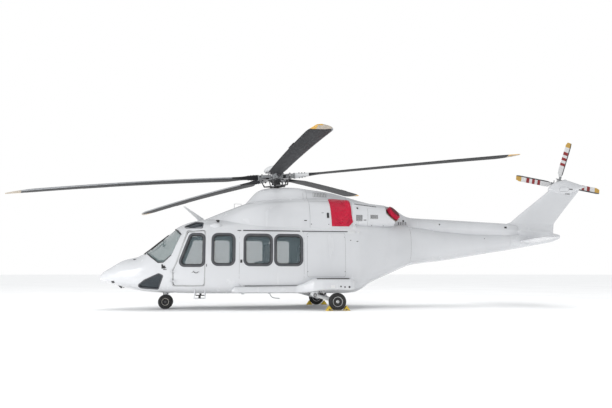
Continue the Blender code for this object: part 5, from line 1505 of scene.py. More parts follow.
def build_intake_covers():
    """Red cloths over the engine intakes, laced flat to the cowling at their hems."""
    tree = tree_of("cowl_middle_skin", "cowl_rear_skin")

    def edge_x(table, z):
        return float(np.interp(z, *zip(*table)))

    def on_cowl(x, angle):
        out = Vector((0.0, cos(angle), sin(angle)))
        origin = Vector((x, 0.0, 0.0)) + COVER_AXIS
        place, normal, _, _ = tree.ray_cast(origin + out * 3.0, -out)
        if place is None or abs(x - COWL_JOINTS[2]) < 0.004:
            place, normal = on_cowl(x - 0.009, angle)
            place = Vector((x, place.y, place.z))
        return place, normal

    def place(u, v):
        angle = radians(COVER_ANGLES[0] + (COVER_ANGLES[1] - COVER_ANGLES[0]) * v)
        middle, _ = on_cowl(4.65, angle)
        front, rear = edge_x(COVER_FRONT, middle.z), edge_x(COVER_REAR, middle.z)
        spot, normal = on_cowl(front + (rear - front) * u, angle)
        return spot + normal * cover_lift(u, v)

    sheet = bmesh.new()
    bmesh.ops.create_grid(sheet, x_segments=44, y_segments=80, size=0.5)
    held = []
    border = {}
    for vert in sheet.verts:
        u, v = vert.co.x + 0.5, vert.co.y + 0.5
        at_edge = min(u, 1.0 - u, v, 1.0 - v) < 1e-4
        held.append(1.0 if at_edge else 0.0)
        if at_edge:
            border[vert.index] = atan2(v - 0.5, u - 0.5)
        vert.co = place(u, v)
    mesh = mesh_of(sheet, "cover_cloth")
    before = coordinates(mesh)
    after = simulated(mesh, COVER_CLOTH, held, gravity=0.25, frames=22)
    points = capped(before, after, bpy.context.scene.helicopter_sizes.cover_slack)
    for i, point in enumerate(points):
        spot, normal, _, _ = tree.find_nearest(Vector(point))
        height = (Vector(point) - spot).dot(normal)
        if height < COVER_CLEARANCE:
            points[i] = point + np.array(normal) * (COVER_CLEARANCE - height)
    mesh.vertices.foreach_set("co", points.astype(np.float32).ravel())
    hem_points = [Vector(coordinates(mesh)[i]) for i in sorted(border, key=border.get)]
    for word, side in SIDES:
        bm = bmesh.new()
        bm.from_mesh(mesh)
        bmesh.ops.recalc_face_normals(bm, faces=bm.faces)
        if sum(face.normal.y for face in bm.faces) < 0.0:
            bmesh.ops.reverse_faces(bm, faces=bm.faces)
        bm = evaluated(bm, (("SOLIDIFY", {"thickness": 0.003, "offset": 1.0, "use_rim": True}),))
        hem = pipe(hem_points + hem_points[:2], 0.006, 8)
        if side < 0:
            mirrored(bm)
            mirrored(hem)
        hem_piece = placed(hem, f"intake_cover_hem_{word}", "cover_rose", sharp=60)
        piece = placed(bm, f"intake_cover_{word}_cloth", "cover_red", (f"intake_cover_{word}",),
                       sharp=80)
    bpy.data.meshes.remove(mesh)


def build_exhaust_covers():
    """Padded drums over the exhausts, with a meshed end, a rose band and the metal lip under them."""
    centre, along = exhaust_line(1)
    start = centre + along * 0.0725
    inner = ((0.0, 0.205), (0.06, 0.214), (0.16, 0.216), (0.80, 0.198), (0.94, 0.190), (1.0, 0.176))
    form = inflated(lathed(inner, start, start + along * 0.132, 64), 0.008, 3.0, 0.009)
    for face in form.faces:
        offset = face.calc_center_median() - centre
        depth = offset.dot(along)
        radius = (offset - along * depth).length
        face.material_index = 1 if depth > 0.17 and radius < 0.170 else 0
    seams = []
    first = along.orthogonal().normalized()
    second = along.cross(first)
    turns = [tau * k / 72 for k in range(74)]
    for depth, radius, thick in ((0.1955, 0.176, 0.006), (0.110, 0.2235, 0.004), (0.180, 0.2075, 0.004)):
        seams.append(pipe([centre + along * depth + (first * cos(t) + second * sin(t)) * radius
                           for t in turns], thick, 8))
    trims = joined(*seams)
    for word, side in SIDES:
        pad, piping = form.copy(), trims.copy()
        if side < 0:
            mirrored(pad)
            mirrored(piping)
        piece = placed(pad, f"exhaust_cover_{word}_pad", ("cover_rose", "cover_mesh"),
                       (f"exhaust_cover_{word}",), sharp=80)
        placed(piping, f"exhaust_cover_piping_{word}", "cover_red", sharp=60)
        middle, out = exhaust_line(side)
        lip = turned(((0.0, 0.2135), (0.0, 0.2175), (0.80, 0.2175), (0.86, 0.226), (1.0, 0.226),
                      (1.0, 0.2135), (0.0, 0.2135)), middle - out * 0.02, middle + out * 0.069, 64)
        placed(lip, f"exhaust_lip_{word}", "bronze")
    form.free()
    trims.free()


def build_nose_gear():
    """Nose leg with its collars, drag link and hoses, and the steered fork with its torque links."""
    leg = [
        (lathed(((0.0, 0.058), (0.03, 0.066), (0.16, 0.066), (0.18, 0.058), (0.86, 0.058), (0.88, 0.064),
                 (1.0, 0.062)), (0.0, 0.0, 0.3352), (0.0, 0.0, 0.600), 40), 0),
        (rod((0.03, 0.0, 0.40), (0.28, 0.0, 0.60), 0.024), 0),
        (lathed(((0.0, 0.031), (1.0, 0.031)), (0.12, 0.0, 0.472), (0.19, 0.0, 0.528), 24), 2),
        (rod((0.03, -0.045, 0.405), (0.03, 0.045, 0.405), 0.022), 2),
        (pipe([(-0.064, 0.02, 0.58), (-0.072, 0.03, 0.50), (-0.070, 0.035, 0.42), (-0.060, 0.03, 0.35)],
              0.007), 3),
        (pipe([(-0.055, -0.04, 0.58), (-0.064, -0.045, 0.48), (-0.062, -0.05, 0.40), (-0.05, -0.04, 0.345)],
              0.006), 3),
    ]
    placed(gathered(leg), "nose_leg_fine", ("white_satin", "steel", "dark_steel", "black_plastic"),
           ("nose_leg",), sharp=35)
    fork = [
        (rod((0.0, 0.0, 0.225), (0.0, 0.0, 0.3348), 0.038, steps=32), 1),
        (lathed(((0.0, 0.040), (0.10, 0.046), (0.70, 0.046), (0.80, 0.040), (1.0, 0.040)),
                (0.0, 0.0, 0.173), (0.0, 0.0, 0.262), 32), 0),
        (rod((0.0, -0.048, 0.193), (0.0, 0.048, 0.193), 0.051, steps=32), 0),
        (block((-0.024, -0.024, 0.0851), (0.024, 0.024, 0.19), 0.004), 0),
        (block((0.02, -0.017, 0.264), (0.168, 0.017, 0.294), 0.006), 0),
        (rod((0.155, -0.030, 0.279), (0.155, 0.030, 0.279), 0.014), 2),
        (bolt_ring((0.0, 0.048, 0.193), (0.0, 1.0, 0.0), 0.038, 6, 0.005, 0.004), 2),
        (bolt_ring((0.0, -0.048, 0.193), (0.0, -1.0, 0.0), 0.038, 6, 0.005, 0.004), 2),
    ]
    placed(gathered(fork), "nose_fork_fine", ("white_satin", "steel", "dark_steel"), ("nose_fork",),
           "nose_steering", sharp=35)


def build_main_gear():
    """Trailing main legs: cast arms with dark pivots, struts, hoses and bolts."""
    for word, side in SIDES:
        def at(x, y, z):
            return Vector((x, side * y, z))

        strut_low, strut_top = at(4.18, 1.36, 0.32), at(4.02, 1.36, 0.60)
        axis = (strut_top - strut_low).normalized()
        parts = [
            (softened(node_copy(f"main_leg_{word}"), 0.007, 5), 0),
            (rod(at(3.84, 1.499, 0.40), at(3.84, 1.514, 0.40), 0.047, steps=28), 2),
            (bolt(at(3.84, 1.514, 0.40), (0.0, side, 0.0), 0.018, 0.016), 1),
            (bolt_ring(at(3.84, 1.514, 0.40), (0.0, side, 0.0), 0.034, 6, 0.005, 0.005), 1),
            (lathed(((0.0, 0.036), (0.1, 0.040), (0.9, 0.040), (1.0, 0.036)),
                    strut_low + axis * 0.10, strut_low + axis * 0.145, 24), 2),
            (lathed(((0.0, 0.035), (0.1, 0.038), (0.9, 0.038), (1.0, 0.035)),
                    strut_low + axis * 0.22, strut_low + axis * 0.25, 24), 2),
            (pipe([at(3.93, 1.455, 0.56), at(3.97, 1.470, 0.46), at(4.08, 1.460, 0.385),
                   at(4.22, 1.435, 0.345), at(4.34, 1.430, 0.285)], 0.008), 3),
            (pipe([at(3.95, 1.29, 0.56), at(4.01, 1.275, 0.45), at(4.13, 1.285, 0.365),
                   at(4.27, 1.300, 0.310)], 0.007), 3),
            (bolt(at(4.42, 1.411, 0.2285), (0.0, side, 0.0), 0.012, 0.010), 1),
        ]
        placed(gathered(parts), f"main_leg_{word}_fine",
               ("white_satin", "steel", "dark_steel", "black_plastic"), (f"main_leg_{word}",), sharp=45)


# Wedges of the chocks, as offsets along x from the wheel's middle: inner foot, top, outer foot.
CHOCKS = ((-1, 0.122, 0.222, 0.309), (1, 0.140, 0.240, 0.330))
CHOCK_HEIGHT = 0.130
CHOCK_INNER_Y = 1.445


def build_chocks():
    """Yellow wedges at the main wheels, tied by a rope."""
    strand = bpy.context.scene.helicopter_sizes.rope_radius
    for word, side in SIDES:
        parts = []
        for sign, inner, top, outer in CHOCKS:
            outline = [(WHEEL_X + sign * inner, side * CHOCK_INNER_Y, 0.0),
                       (WHEEL_X + sign * top, side * CHOCK_INNER_Y, CHOCK_HEIGHT),
                       (WHEEL_X + sign * outer, side * CHOCK_INNER_Y, 0.0)]
            parts.append((slab(outline, (0.0, side * 0.140, 0.0), 0.004), 0))
            x = WHEEL_X + sign * 0.220
            parts.append((rod((x, side * 1.53, 0.03), (x, side * 1.635, 0.03), 0.015), 1))
        strands = []
        for k in range(3):
            points = []
            for i in range(45):
                share = i / 44
                turn = tau * (share * 9.0 + k / 3.0)
                sag = -0.012 * sin(pi * share)
                points.append((4.20 + 0.44 * share, side * (1.625 + 0.005 * cos(turn)),
                               0.030 + sag + 0.005 * sin(turn)))
            strands.append((pipe(points, strand, 6), 2))
        placed(gathered(parts + strands), f"wheel_chocks_{word}_fine",
               ("chock_paint", "dark_steel", "rope_cream"), (f"wheel_chocks_{word}",),
               sharp=35)


def build_instrument_panel():
    """Glareshield, screens, switches and console."""
    parts = [
        (block((-0.30, -0.70, 1.262), (-0.022, 0.70, 1.300), 0.015, 3), 0),
        (block((-0.29, -0.68, 1.005), (-0.055, 0.68, 1.268), 0.012), 0),
        (block((-0.28, -0.168, 0.502), (0.018, 0.168, 1.098), 0.014), 0),
        (block((-0.28, -0.168, CABIN_FLOOR), (0.618, 0.168, 0.960), 0.014), 0),
    ]
    for y in (-0.54, -0.31, 0.31, 0.54):
        parts += [
            (block((-0.056, y - 0.100, 1.060), (-0.046, y + 0.100, 1.225), 0.003), 1),
            (block((-0.048, y - 0.085, 1.075), (-0.0445, y + 0.085, 1.212), 0.001), 2),
        ]
    for y in (-0.10, 0.0, 0.10):
        parts.append((block((0.016, y - 0.040, 0.99), (0.0215, y + 0.040, 1.075), 0.002), 2))
    for i in range(5):
        x = 0.10 + 0.10 * i
        parts += [
            (block((x, -0.150, 0.958), (x + 0.085, -0.010, 0.966), 0.002), 1),
            (block((x, 0.010, 0.958), (x + 0.085, 0.150, 0.966), 0.002), 1),
        ]
        for k in range(4):
            foot = Vector((x + 0.02 + 0.022 * (k % 2), -0.12 + 0.08 * k, 0.965))
            parts.append((rod(foot, foot + Vector((0.0, 0.0, 0.014)), 0.008, steps=10), 3))
    placed(gathered(parts), "instrument_panel_fine",
           ("black_plastic", "cast_grey", "screen_glass", "seat_cloth"), ("instrument_panel",),
           sharp=35)


def seat_pads(name, size, places):
    """Copies of one simulated pad: its size, then the frame and the name's end of each."""
    half = Vector(size) / 2.0
    form = inflated(block(-half, half, min(size) * 0.30, 3), 0.014, 4.0, 0.010)
    bmesh.ops.smooth_vert(form, verts=form.verts, factor=0.5, use_axis_x=True, use_axis_y=True,
                          use_axis_z=True)
    for label, matrix in places:
        piece = placed(moved(form.copy(), matrix), f"{name}_{label}", "seat_cloth",
                       sharp=80)
    form.free()


def build_crew_seats():
    """Two crew seats: base, shell, cushions, headrest and belts."""
    parts = []
    cushions = []
    backs = []
    heads = []
    for word, side in SIDES:
        def at(x, y, z):
            return Vector((x, side * y, z))

        for y in (0.29, 0.66):
            parts += [
                (block(at(0.68, y, CABIN_FLOOR), at(1.08, y + 0.035, 0.70), 0.006), 1),
                (rod(at(0.72, y + 0.015, 0.69), at(0.80, y + 0.015, 0.80), 0.014), 1),
                (rod(at(1.05, y + 0.015, 0.69), at(0.97, y + 0.015, 0.80), 0.014), 1),
            ]
        parts.append((block(at(0.65, 0.245, 0.785), at(1.06, 0.735, 0.825), 0.015), 0))
        shell = [(1.045, 0.855), (1.095, 0.855), (1.235, 1.715), (1.185, 1.725)]
        parts.append((slab([at(x, 0.245, z) for x, z in shell], at(0.0, 0.49, 0.0), 0.012), 0))
        for y in (0.26, 0.70):
            parts += [
                (pipe([at(1.10, y + 0.01, 1.08), at(0.98, y + 0.01, 1.10), at(0.86, y + 0.01, 1.09)],
                      0.018), 0),
                (block(at(1.115, y - 0.02, 1.30), at(1.125, y + 0.03, 1.60), 0.003), 2),
            ]
        parts.append((block(at(0.70, 0.45, 1.006), at(1.02, 0.49, 1.012), 0.002), 2))
        cushions.append((word, Matrix.Translation(at(0.845, 0.49, 0.905))))
        lean = Matrix.Rotation(radians(9.2), 4, "Y")
        backs.append((word, Matrix.Translation(at(1.078, 0.49, 1.245)) @ lean))
        heads.append((word, Matrix.Translation(at(1.145, 0.49, 1.640)) @ lean))
    placed(gathered(parts), "crew_seats_frames", ("black_plastic", "cast_grey", "belt_webbing"),
           ("crew_seats",))
    seat_pads("crew_seat_cushion", (0.39, 0.46, 0.150), cushions)
    seat_pads("crew_seat_back", (0.085, 0.44, 0.58), backs)
    seat_pads("crew_seat_head", (0.075, 0.26, 0.15), heads)


CABIN_ROWS = (2.30, 3.30)
CABIN_SEATS = (-0.675, -0.225, 0.225, 0.675)


def build_cabin_seats():
    """Two rows of four cabin seats: legs, rails, shells, armrests, cushions and belts."""
    parts = []
    cushions = []
    backs = []
    for row, x in enumerate(CABIN_ROWS):
        for k, y in enumerate(CABIN_SEATS):
            for foot in (-0.15, 0.15):
                parts += [
                    (rod((x + 0.05, y + foot, CABIN_FLOOR), (x + 0.08, y + foot, 0.955), 0.014, steps=12), 1),
                    (rod((x + 0.36, y + foot, CABIN_FLOOR), (x + 0.40, y + foot, 0.98), 0.014, steps=12), 1),
                    (block((x + 0.02, y + foot - 0.02, CABIN_FLOOR), (x + 0.42, y + foot + 0.02, 0.640),
                           0.004), 1),
                ]
            parts.append((block((x - 0.01, y - 0.215, 0.950), (x + 0.42, y + 0.215, 0.985), 0.012), 0))
            shell = [(x + 0.435, 1.00), (x + 0.480, 1.00), (x + 0.595, 1.795), (x + 0.550, 1.805)]
            parts.append((slab([(a, y - 0.215, b) for a, b in shell], (0.0, 0.430, 0.0), 0.012), 0))
            for edge in (-0.215, 0.215):
                parts.append((pipe([(x + 0.47, y + edge, 1.25), (x + 0.34, y + edge, 1.27),
                                    (x + 0.16, y + edge, 1.26)], 0.016), 0))
            parts.append((block((x + 0.05, y - 0.02, 1.092), (x + 0.34, y + 0.02, 1.098), 0.002), 2))
            label = f"{row + 1}_{k + 1}"
            cushions.append((label, Matrix.Translation((x + 0.19, y, 1.035))))
            lean = Matrix.Rotation(radians(8.2), 4, "Y")
            backs.append((label, Matrix.Translation((x + 0.468, y, 1.44)) @ lean))
    placed(gathered(parts), "cabin_seats_frames", ("seat_shell", "cast_grey", "belt_webbing"),
           ("cabin_seats",))
    seat_pads("cabin_seat_cushion", (0.39, 0.42, 0.085), cushions)
    seat_pads("cabin_seat_back", (0.075, 0.42, 0.68), backs)


def plate(surface, low, high, side, lift=0.004, edge=0.003, cells=6):
    """A thin plate laid on a surface between two corners of the side view, its rim turned into it."""
    def share(value, length):
        k = round(value * (cells + 2))
        if k in (0, cells + 2):
            return 0.0 if k == 0 else 1.0
        inset = min(0.3, edge / length)
        return inset + (1.0 - 2.0 * inset) * (k - 1) / cells

    def place(u, v):
        rim = min(u, 1.0 - u, v, 1.0 - v) < 1e-4
        x = low[0] + (high[0] - low[0]) * share(u, abs(high[0] - low[0]))
        z = low[1] + (high[1] - low[1]) * share(v, abs(high[1] - low[1]))
        return surface(x, z, side, -0.004 if rim else lift)

    return wrapped(place, cells + 2, cells + 2)


def knob(surface, x, z, radius, side, lift=0.006, steps=20):
    """A round button standing on a surface."""
    foot = surface(x, z, side, -0.004)
    top = surface(x, z, side, lift)
    return rod(foot, top, radius, steps=steps)


def louvre(surface, low, high, side, slats, across=False):
    """A dark plate for the opening, its colour painted shade of the hollow, with light slats over it."""
    parts = [(plate(surface, low, high, side, 0.0015), 1)]
    for k in range(slats):
        start, end = (k + 0.30) / slats, (k + 0.86) / slats
        if across:
            first = (low[0] + (high[0] - low[0]) * start, low[1] + 0.008)
            last = (low[0] + (high[0] - low[0]) * end, high[1] - 0.008)
        else:
            first = (low[0] + 0.008, low[1] + (high[1] - low[1]) * start)
            last = (high[0] - 0.008, low[1] + (high[1] - low[1]) * end)
        parts.append((plate(surface, first, last, side, 0.007, 0.004), 0))
    return parts


RAIL_PROFILE = ((0.008, -0.004), (0.008, 0.010), (-0.008, 0.010), (-0.008, -0.004))
LINE_PROFILE = ((0.004, -0.002), (0.003, 0.0025), (-0.003, 0.0025), (-0.004, -0.002))
DOOR_SEAL_PROFILE = ((-0.0014, -0.008), (-0.0014, -0.0015), (-0.026, -0.0015), (-0.026, -0.008))
COCKPIT_DOOR = (((0.215, 0.620), (1.045, 0.620), (1.045, 2.050), (0.560, 2.050), (0.310, 1.260),
                 (0.215, 1.040)), 0.05)


# Strips of the sides: both ends, section, finish.
SIDE_STRIPS = (
    ((1.86, 2.068), (4.86, 2.068), RAIL_PROFILE, 1),
    ((2.07, 0.641), (3.50, 0.641), LINE_PROFILE, 1),
    ((2.07, 0.616), (3.50, 0.616), LINE_PROFILE, 1),
)
# Plates of the sides: two corners, lift, finish, and the slope of the rim where it is wide.
SIDE_PLATES = (
    ((3.52, 2.045), (3.575, 2.105), 0.016, 0),
    ((1.955, 2.045), (2.01, 2.105), 0.016, 0),
    ((3.50, 0.60), (3.56, 0.655), 0.012, 0),
    ((1.97, 0.60), (2.03, 0.655), 0.012, 0),
    ((4.80, 2.022), (5.04, 2.110), 0.020, 0, 0.03),
    ((5.10, 2.030), (5.17, 2.085), 0.012, 0, 0.01),
    ((5.045, 1.797), (5.10, 1.819), 0.003, 1),
    ((1.066, 1.125), (1.084, 1.195), 0.006, 1),
    ((1.935, 1.225), (1.990, 1.310), 0.010, 2),
    ((1.945, 1.245), (1.980, 1.290), 0.016, 1),
    ((-0.06, 1.075), (0.03, 1.150), 0.010, 1),
    ((-0.02, 1.040), (0.07, 1.062), 0.005, 2),
)
# Knobs of the sides: x, z, radius, lift, finish.
SIDE_KNOBS = (
    (4.885, 1.833, 0.014, 0.006, 1),
    (-0.045, 1.165, 0.020, 0.016, 1),
    (0.045, 1.100, 0.014, 0.022, 2),
)


def strips(surface, side, rows):
    """Strips of a table, laid on a surface."""
    return [(strip((start, end), profile, side, surface), index) for start, end, profile, index in rows]


def plates(surface, side, rows):
    """Plates of a table, laid on a surface."""
    return [(plate(surface, low, high, side, lift, *edge), index) for low, high, lift, index, *edge in rows]


def knobs(surface, side, rows):
    """Knobs of a table, standing on a surface."""
    return [(knob(surface, x, z, radius, side, lift), index) for x, z, radius, lift, index in rows]


def build_side_fittings():
    """Door rails, handles, hinges, seals and small fittings of the fuselage sides."""
    for word, side in SIDES:
        parts = strips(skin_point, side, SIDE_STRIPS) + plates(skin_point, side, SIDE_PLATES)
        parts += knobs(skin_point, side, SIDE_KNOBS)
        parts += knobs(skin_point, side, [(x, z, 0.010, 0.005, 2) for x in (4.72, 3.715)
                                          for z in (1.00, 1.92)])
        placed(gathered(parts), f"side_fittings_{word}", ("white_satin", "seal_black", "dark_steel"))
        door = f"cockpit_door_{word}"
        handle = []
        arc = []
        for k in range(9):
            turn = radians(200.0 + 130.0 * k / 8)
            arc.append(skin_point(0.812 + 0.070 * cos(turn), 1.035 + 0.070 * sin(turn), side, 0.010))
        handle.append((pipe(arc, 0.006), 1))
        dish = [skin_point(0.812 + 0.085 * cos(t / 8.0), 1.035 + 0.085 * sin(t / 8.0), side, 0.001)
                for t in range(52)]
        handle += [
            (pipe(dish, 0.004, 6), 0),
            (knob(skin_point, 0.717, 0.976, 0.010, side, 0.004), 1),
        ]
        for z in (0.76, 1.00):
            handle.append((plate(skin_point, (0.218, z - 0.030), (0.262, z + 0.030), side, 0.006), 0))
        placed(gathered(handle), f"{door}_handle", ("white_satin", "seal_black", "steel"), body=door)
        placed(band(COCKPIT_DOOR, DOOR_SEAL_PROFILE, side, arc=5, straight=9), f"{door}_seal", "seal_light",
               body=door)


FRONT_EDGES = ((-0.470, 1.465), (-0.150, 1.225), (-0.020, 1.235), (0.200, 1.450), (0.405, 1.945),
               (0.330, 2.045), (0.235, 2.100), (-0.030, 2.330))
EYEBROW = (((0.400, 2.140), (0.940, 2.140), (0.960, 2.262), (0.780, 2.290)), 0.02)
CHIN_WINDOW = (((-0.660, 0.630), (-0.480, 0.775), (-0.130, 0.935), (-0.030, 0.890), (-0.150, 0.560),
                (-0.560, 0.590)), 0.03)
FRAME_PROFILE = ((0.026, -0.002), (0.024, 0.004), (0.004, 0.005), (-0.004, 0.004), (-0.004, -0.016))
CENTRE_POST_Y = 0.03


def nearest_on(*names):
    """Gives the nearest place on finished pieces to a point, lifted along the smooth body's normal."""
    tree = tree_of(*names)

    def nearest(point, lift=0.0):
        place, _, _, _ = tree.find_nearest(Vector(point))
        return place + Vector(body_normals(np.array([place]))[0]) * lift

    return nearest


def centre_line(y, start, end, count):
    """Points of the windscreen's front edge beside the centre post, from the nose up to the roof."""
    points = []
    for k in range(count):
        x = start + (end - start) * k / (count - 1)
        _, _, high, half, waist, _, square = row_at(BODY, x)
        rise = (1.0 - (abs(y) / half) ** square) ** (1.0 / square)
        points.append(Vector((x, y, waist + (high - waist) * rise)))
    return points


def build_front_fittings():
    """Windscreen borders, wipers, compass, chin and eyebrow window frames and the nose fittings."""
    nearest = nearest_on("windshield_skin", "cabin_shell_skin", "nose_shell_skin", "cabin_roof_skin")
    for word, side in SIDES:
        lower = [Vector((x, 0.0, z)) for x, z in FRONT_EDGES]
        route = []
        for a, b in zip(lower, lower[1:4]):
            count = max(2, round((b - a).length / 0.04))
            route += [a.lerp(b, k / count) for k in range(count)]
        border = [skin_point(point.x, point.z, side, 0.004) for point in route]
        upper = [skin_point(x, z, side, 0.004) for x, z in FRONT_EDGES[4:7]]
        top = [nearest(upper[0].lerp(upper[1], k / 6), 0.004) for k in range(6)]
        top += [nearest(upper[1].lerp(upper[2], k / 4), 0.004) for k in range(5)]
        post = [nearest(point, 0.004) for point in centre_line(side * (CENTRE_POST_Y + 0.012), -0.56, 0.04,
                                                               30)]
        parts = [(pipe(post, 0.013, 8), 1), (pipe(border, 0.010, 8), 1), (pipe(top, 0.016, 8), 1),
                 (band(CHIN_WINDOW, FRAME_PROFILE, side, arc=4, straight=5), 0),
                 (band(EYEBROW, FRAME_PROFILE, side, arc=4, straight=5), 0)]
        root = nearest(Vector((-0.514, side * 0.524, 1.451)), 0.012)
        tip = nearest(Vector((-0.039, side * 0.428, 1.852)), 0.022)
        arm = [nearest(root.lerp(tip, k / 12), 0.026 if 0 < k < 12 else 0.014) for k in range(13)]
        blade = [nearest(root.lerp(tip, 0.30 + k * 0.07), 0.010) for k in range(11)]
        knuckle = nearest(root, 0.0)
        parts += [(pipe(arm, 0.006, 8), 1), (pipe(blade, 0.010, 8), 1),
                  (pipe([point + Vector((0.014, 0.0, 0.006)) for point in arm[4:9]], 0.005, 8), 1),
                  (rod(knuckle, nearest(root, 0.034), 0.020), 1)]
        vent = nearest(Vector((-0.784, side * 0.469, 1.315)), 0.0)
        parts += [
            (ball(vent, (0.050, 0.030, 0.016)), 0),
            (plate(skin_point, (-1.375, 0.700), (-1.290, 0.760), side, 0.004), 1),
        ]
        root_z = skin_point(-1.16, 0.66, side).z
        fin = [(-1.250, side * 0.23, root_z), (-1.130, side * 0.23, root_z), (-1.110, side * 0.23, 0.570),
               (-1.145, side * 0.23, 0.560)]
        parts.append((slab(fin, (0.0, side * 0.010, 0.0), 0.002), 1))
        placed(gathered(parts), f"front_fittings_{word}", ("seal_grey", "seal_black"))
    parts = [
        (ball((-0.085, 0.0, 1.712), (0.040, 0.036, 0.044)), 1),
        (rod((-0.090, 0.0, 1.750), (-0.120, 0.0, 1.850), 0.010), 1),
        (lathed(((0.0, 0.028), (0.8, 0.030), (1.0, 0.026)), (-0.060, 0.0, 1.712),
                (-0.038, 0.0, 1.712), 20), 2),
    ]
    placed(gathered(parts), "compass", ("seal_grey", "black_plastic", "dark_glass"))


def build_cowl_fittings():
    """Louvres, vents, latches, hinges and seams of the cowlings and the drive shaft cover."""
    middle = surface_of("cowl_middle_skin")
    rear = surface_of("cowl_rear_skin")
    front = surface_of("cowl_front_skin")
    shaft = surface_of("drive_shaft_cover_skin")
    for word, side in SIDES:
        upper = louvre(middle, (3.985, 3.085), (4.395, 3.215), side, 9, across=True)
        # The upper louvre's opening takes the grey seam finish, painted shade of its hollow.
        parts = [(part, 3 if index else 0) for part, index in upper]
        parts += louvre(rear, (5.086, 2.373), (5.262, 2.545), side, 6)
        parts += louvre(rear, (5.495, 2.440), (5.710, 2.555), side, 4)
        parts += [
            (plate(rear, (5.295, 2.392), (5.380, 2.415), side, 0.003), 1),
            (turned(((0.0, 0.030), (0.0, 0.048), (0.8, 0.050), (1.0, 0.046), (1.0, 0.030), (0.0, 0.030)),
                    rear(5.125, 2.725, side, -0.004), rear(5.125, 2.725, side, 0.010), 24), 0),
            (knob(rear, 5.125, 2.725, 0.034, side, 0.002), 1),
            (plate(front, (3.640, 2.350), (3.715, 2.378), side, 0.003), 1),
            *plates(middle, side, (((4.265, 2.440), (4.325, 2.585), 0.010, 1),
                                   ((4.120, 2.575), (4.185, 2.590), 0.002, 1))),
            (strip([(3.700, 2.90), (3.700, 3.20)], LINE_PROFILE, side, front), 3),
            *strips(rear, side, (((5.42, 2.26), (5.42, 2.72), LINE_PROFILE, 3),
                                 ((4.999, 2.235), (6.02, 2.235), LINE_PROFILE, 3))),
            (strip([(3.83, 2.925), (4.34, 2.925)], LINE_PROFILE, side, middle), 3),
            (knob(shaft, 6.64, 2.45, 0.030, side, 0.024), 1),
        ]
        for x in (3.835, 4.312, 5.07, 5.55, 5.90):
            parts.append((knob(middle if x < 4.9 else rear, x, 2.268, 0.012, side, 0.005), 1))
        for k in range(5):
            x = 6.48 + 0.055 * k
            parts.append((plate(shaft, (x, 2.335), (x + 0.022, 2.420), side, 0.003), 1))
        knuckles = []
        for k in range(14):
            x = 5.06 + 0.045 * k
            z = 2.845 - 0.065 * k / 13
            knuckles.append((rod(rear(x, z, side, 0.004), rear(x + 0.034, z - 0.004, side, 0.004), 0.009,
                                 steps=10), 1))
        parts += [
            (knob(shaft, 7.709, 2.355, 0.022, side, 0.014), 2),
            (plate(shaft, (9.76, 2.275), (9.84, 2.325), side, 0.012), 1),
        ]
        placed(gathered(parts + knuckles), f"cowl_fittings_{word}",
               ("white_satin", "seal_black", "seal_grey", "seam_line"))


def build_tail_fittings():
    """Panels, slots and lamps of the fin, its gearbox fairing and the boom."""
    fairing = surface_of("gearbox_fairing", "fin_skin")
    fin = surface_of("fin_skin")
    for word, side in SIDES:
        parts = [
            (band((((11.68, 3.440), (11.98, 3.440), (11.98, 3.570), (11.68, 3.570)), 0.055), LINE_PROFILE,
                  side, fairing, arc=5, straight=3), 3),
            (plate(fairing, (11.990, 3.495), (12.120, 3.525), side, 0.003), 1),
            (plate(fairing, (11.900, 3.366), (12.080, 3.388), side, 0.003), 1),
            (knob(fin, 11.454, 2.386, 0.016, side, 0.020), 2),
            (strip([(6.760, 1.26), (6.760, 2.20)], LINE_PROFILE, side), 3),
            (plate(skin_point, (10.955, 2.040), (11.010, 2.080), side, 0.004), 1),
            (knob(skin_point, 9.10, 1.96, 0.012, side, 0.005), 1),
        ]
        placed(gathered(parts), f"tail_fittings_{word}",
               ("white_satin", "seal_black", "lamp_clear", "seam_line"))


def build_belly_fittings():
    """Boarding step treads, aerials, and covers and ports of the sponsons."""
    for word, side in SIDES:
        sponson = surface_of(f"sponson_{word}_skin")
        parts = [
            (plate(sponson, (4.235, 0.580), (4.345, 0.655), side, 0.003), 3),
            *knobs(sponson, side, ((4.499, 0.618, 0.022, 0.004, 2), (4.605, 0.605, 0.022, 0.004, 2),
                                   (4.724, 0.604, 0.026, 0.006, 1))),
            (strip([(3.90, 0.812), (4.74, 0.812)], RAIL_PROFILE, side, sponson), 1),
            (rod((0.790, side * 1.02, 0.313), (1.040, side * 1.02, 0.313), 0.010, steps=12), 2),
            (block((0.885, side * 1.055, 0.318), (0.945, side * 0.985, 0.400), 0.006), 1),
        ]
        for x in (0.775, 1.055):
            parts.append((rod((x - 0.010, side * 1.02, 0.325), (x + 0.010, side * 1.02, 0.325), 0.018), 0))
        placed(gathered(parts), f"belly_fittings_{word}",
               ("white_satin", "seal_black", "dark_steel", "band_white"))
    hook = [(2.780, -0.30, 0.430), (2.800, -0.30, 0.385), (2.840, -0.30, 0.320), (2.893, -0.30, 0.290),
            (2.980, -0.30, 0.276), (3.067, -0.30, 0.273)]
    parts = [
        (pipe(hook, 0.013, 10), 0),
        (rod((2.780, -0.30, 0.400), (2.780, -0.30, 0.450), 0.034), 0),
        (block((2.02, -0.34, 0.385), (2.10, -0.26, 0.430), 0.010), 0),
    ]
    placed(gathered(parts), "belly_aerials", ("white_satin",))


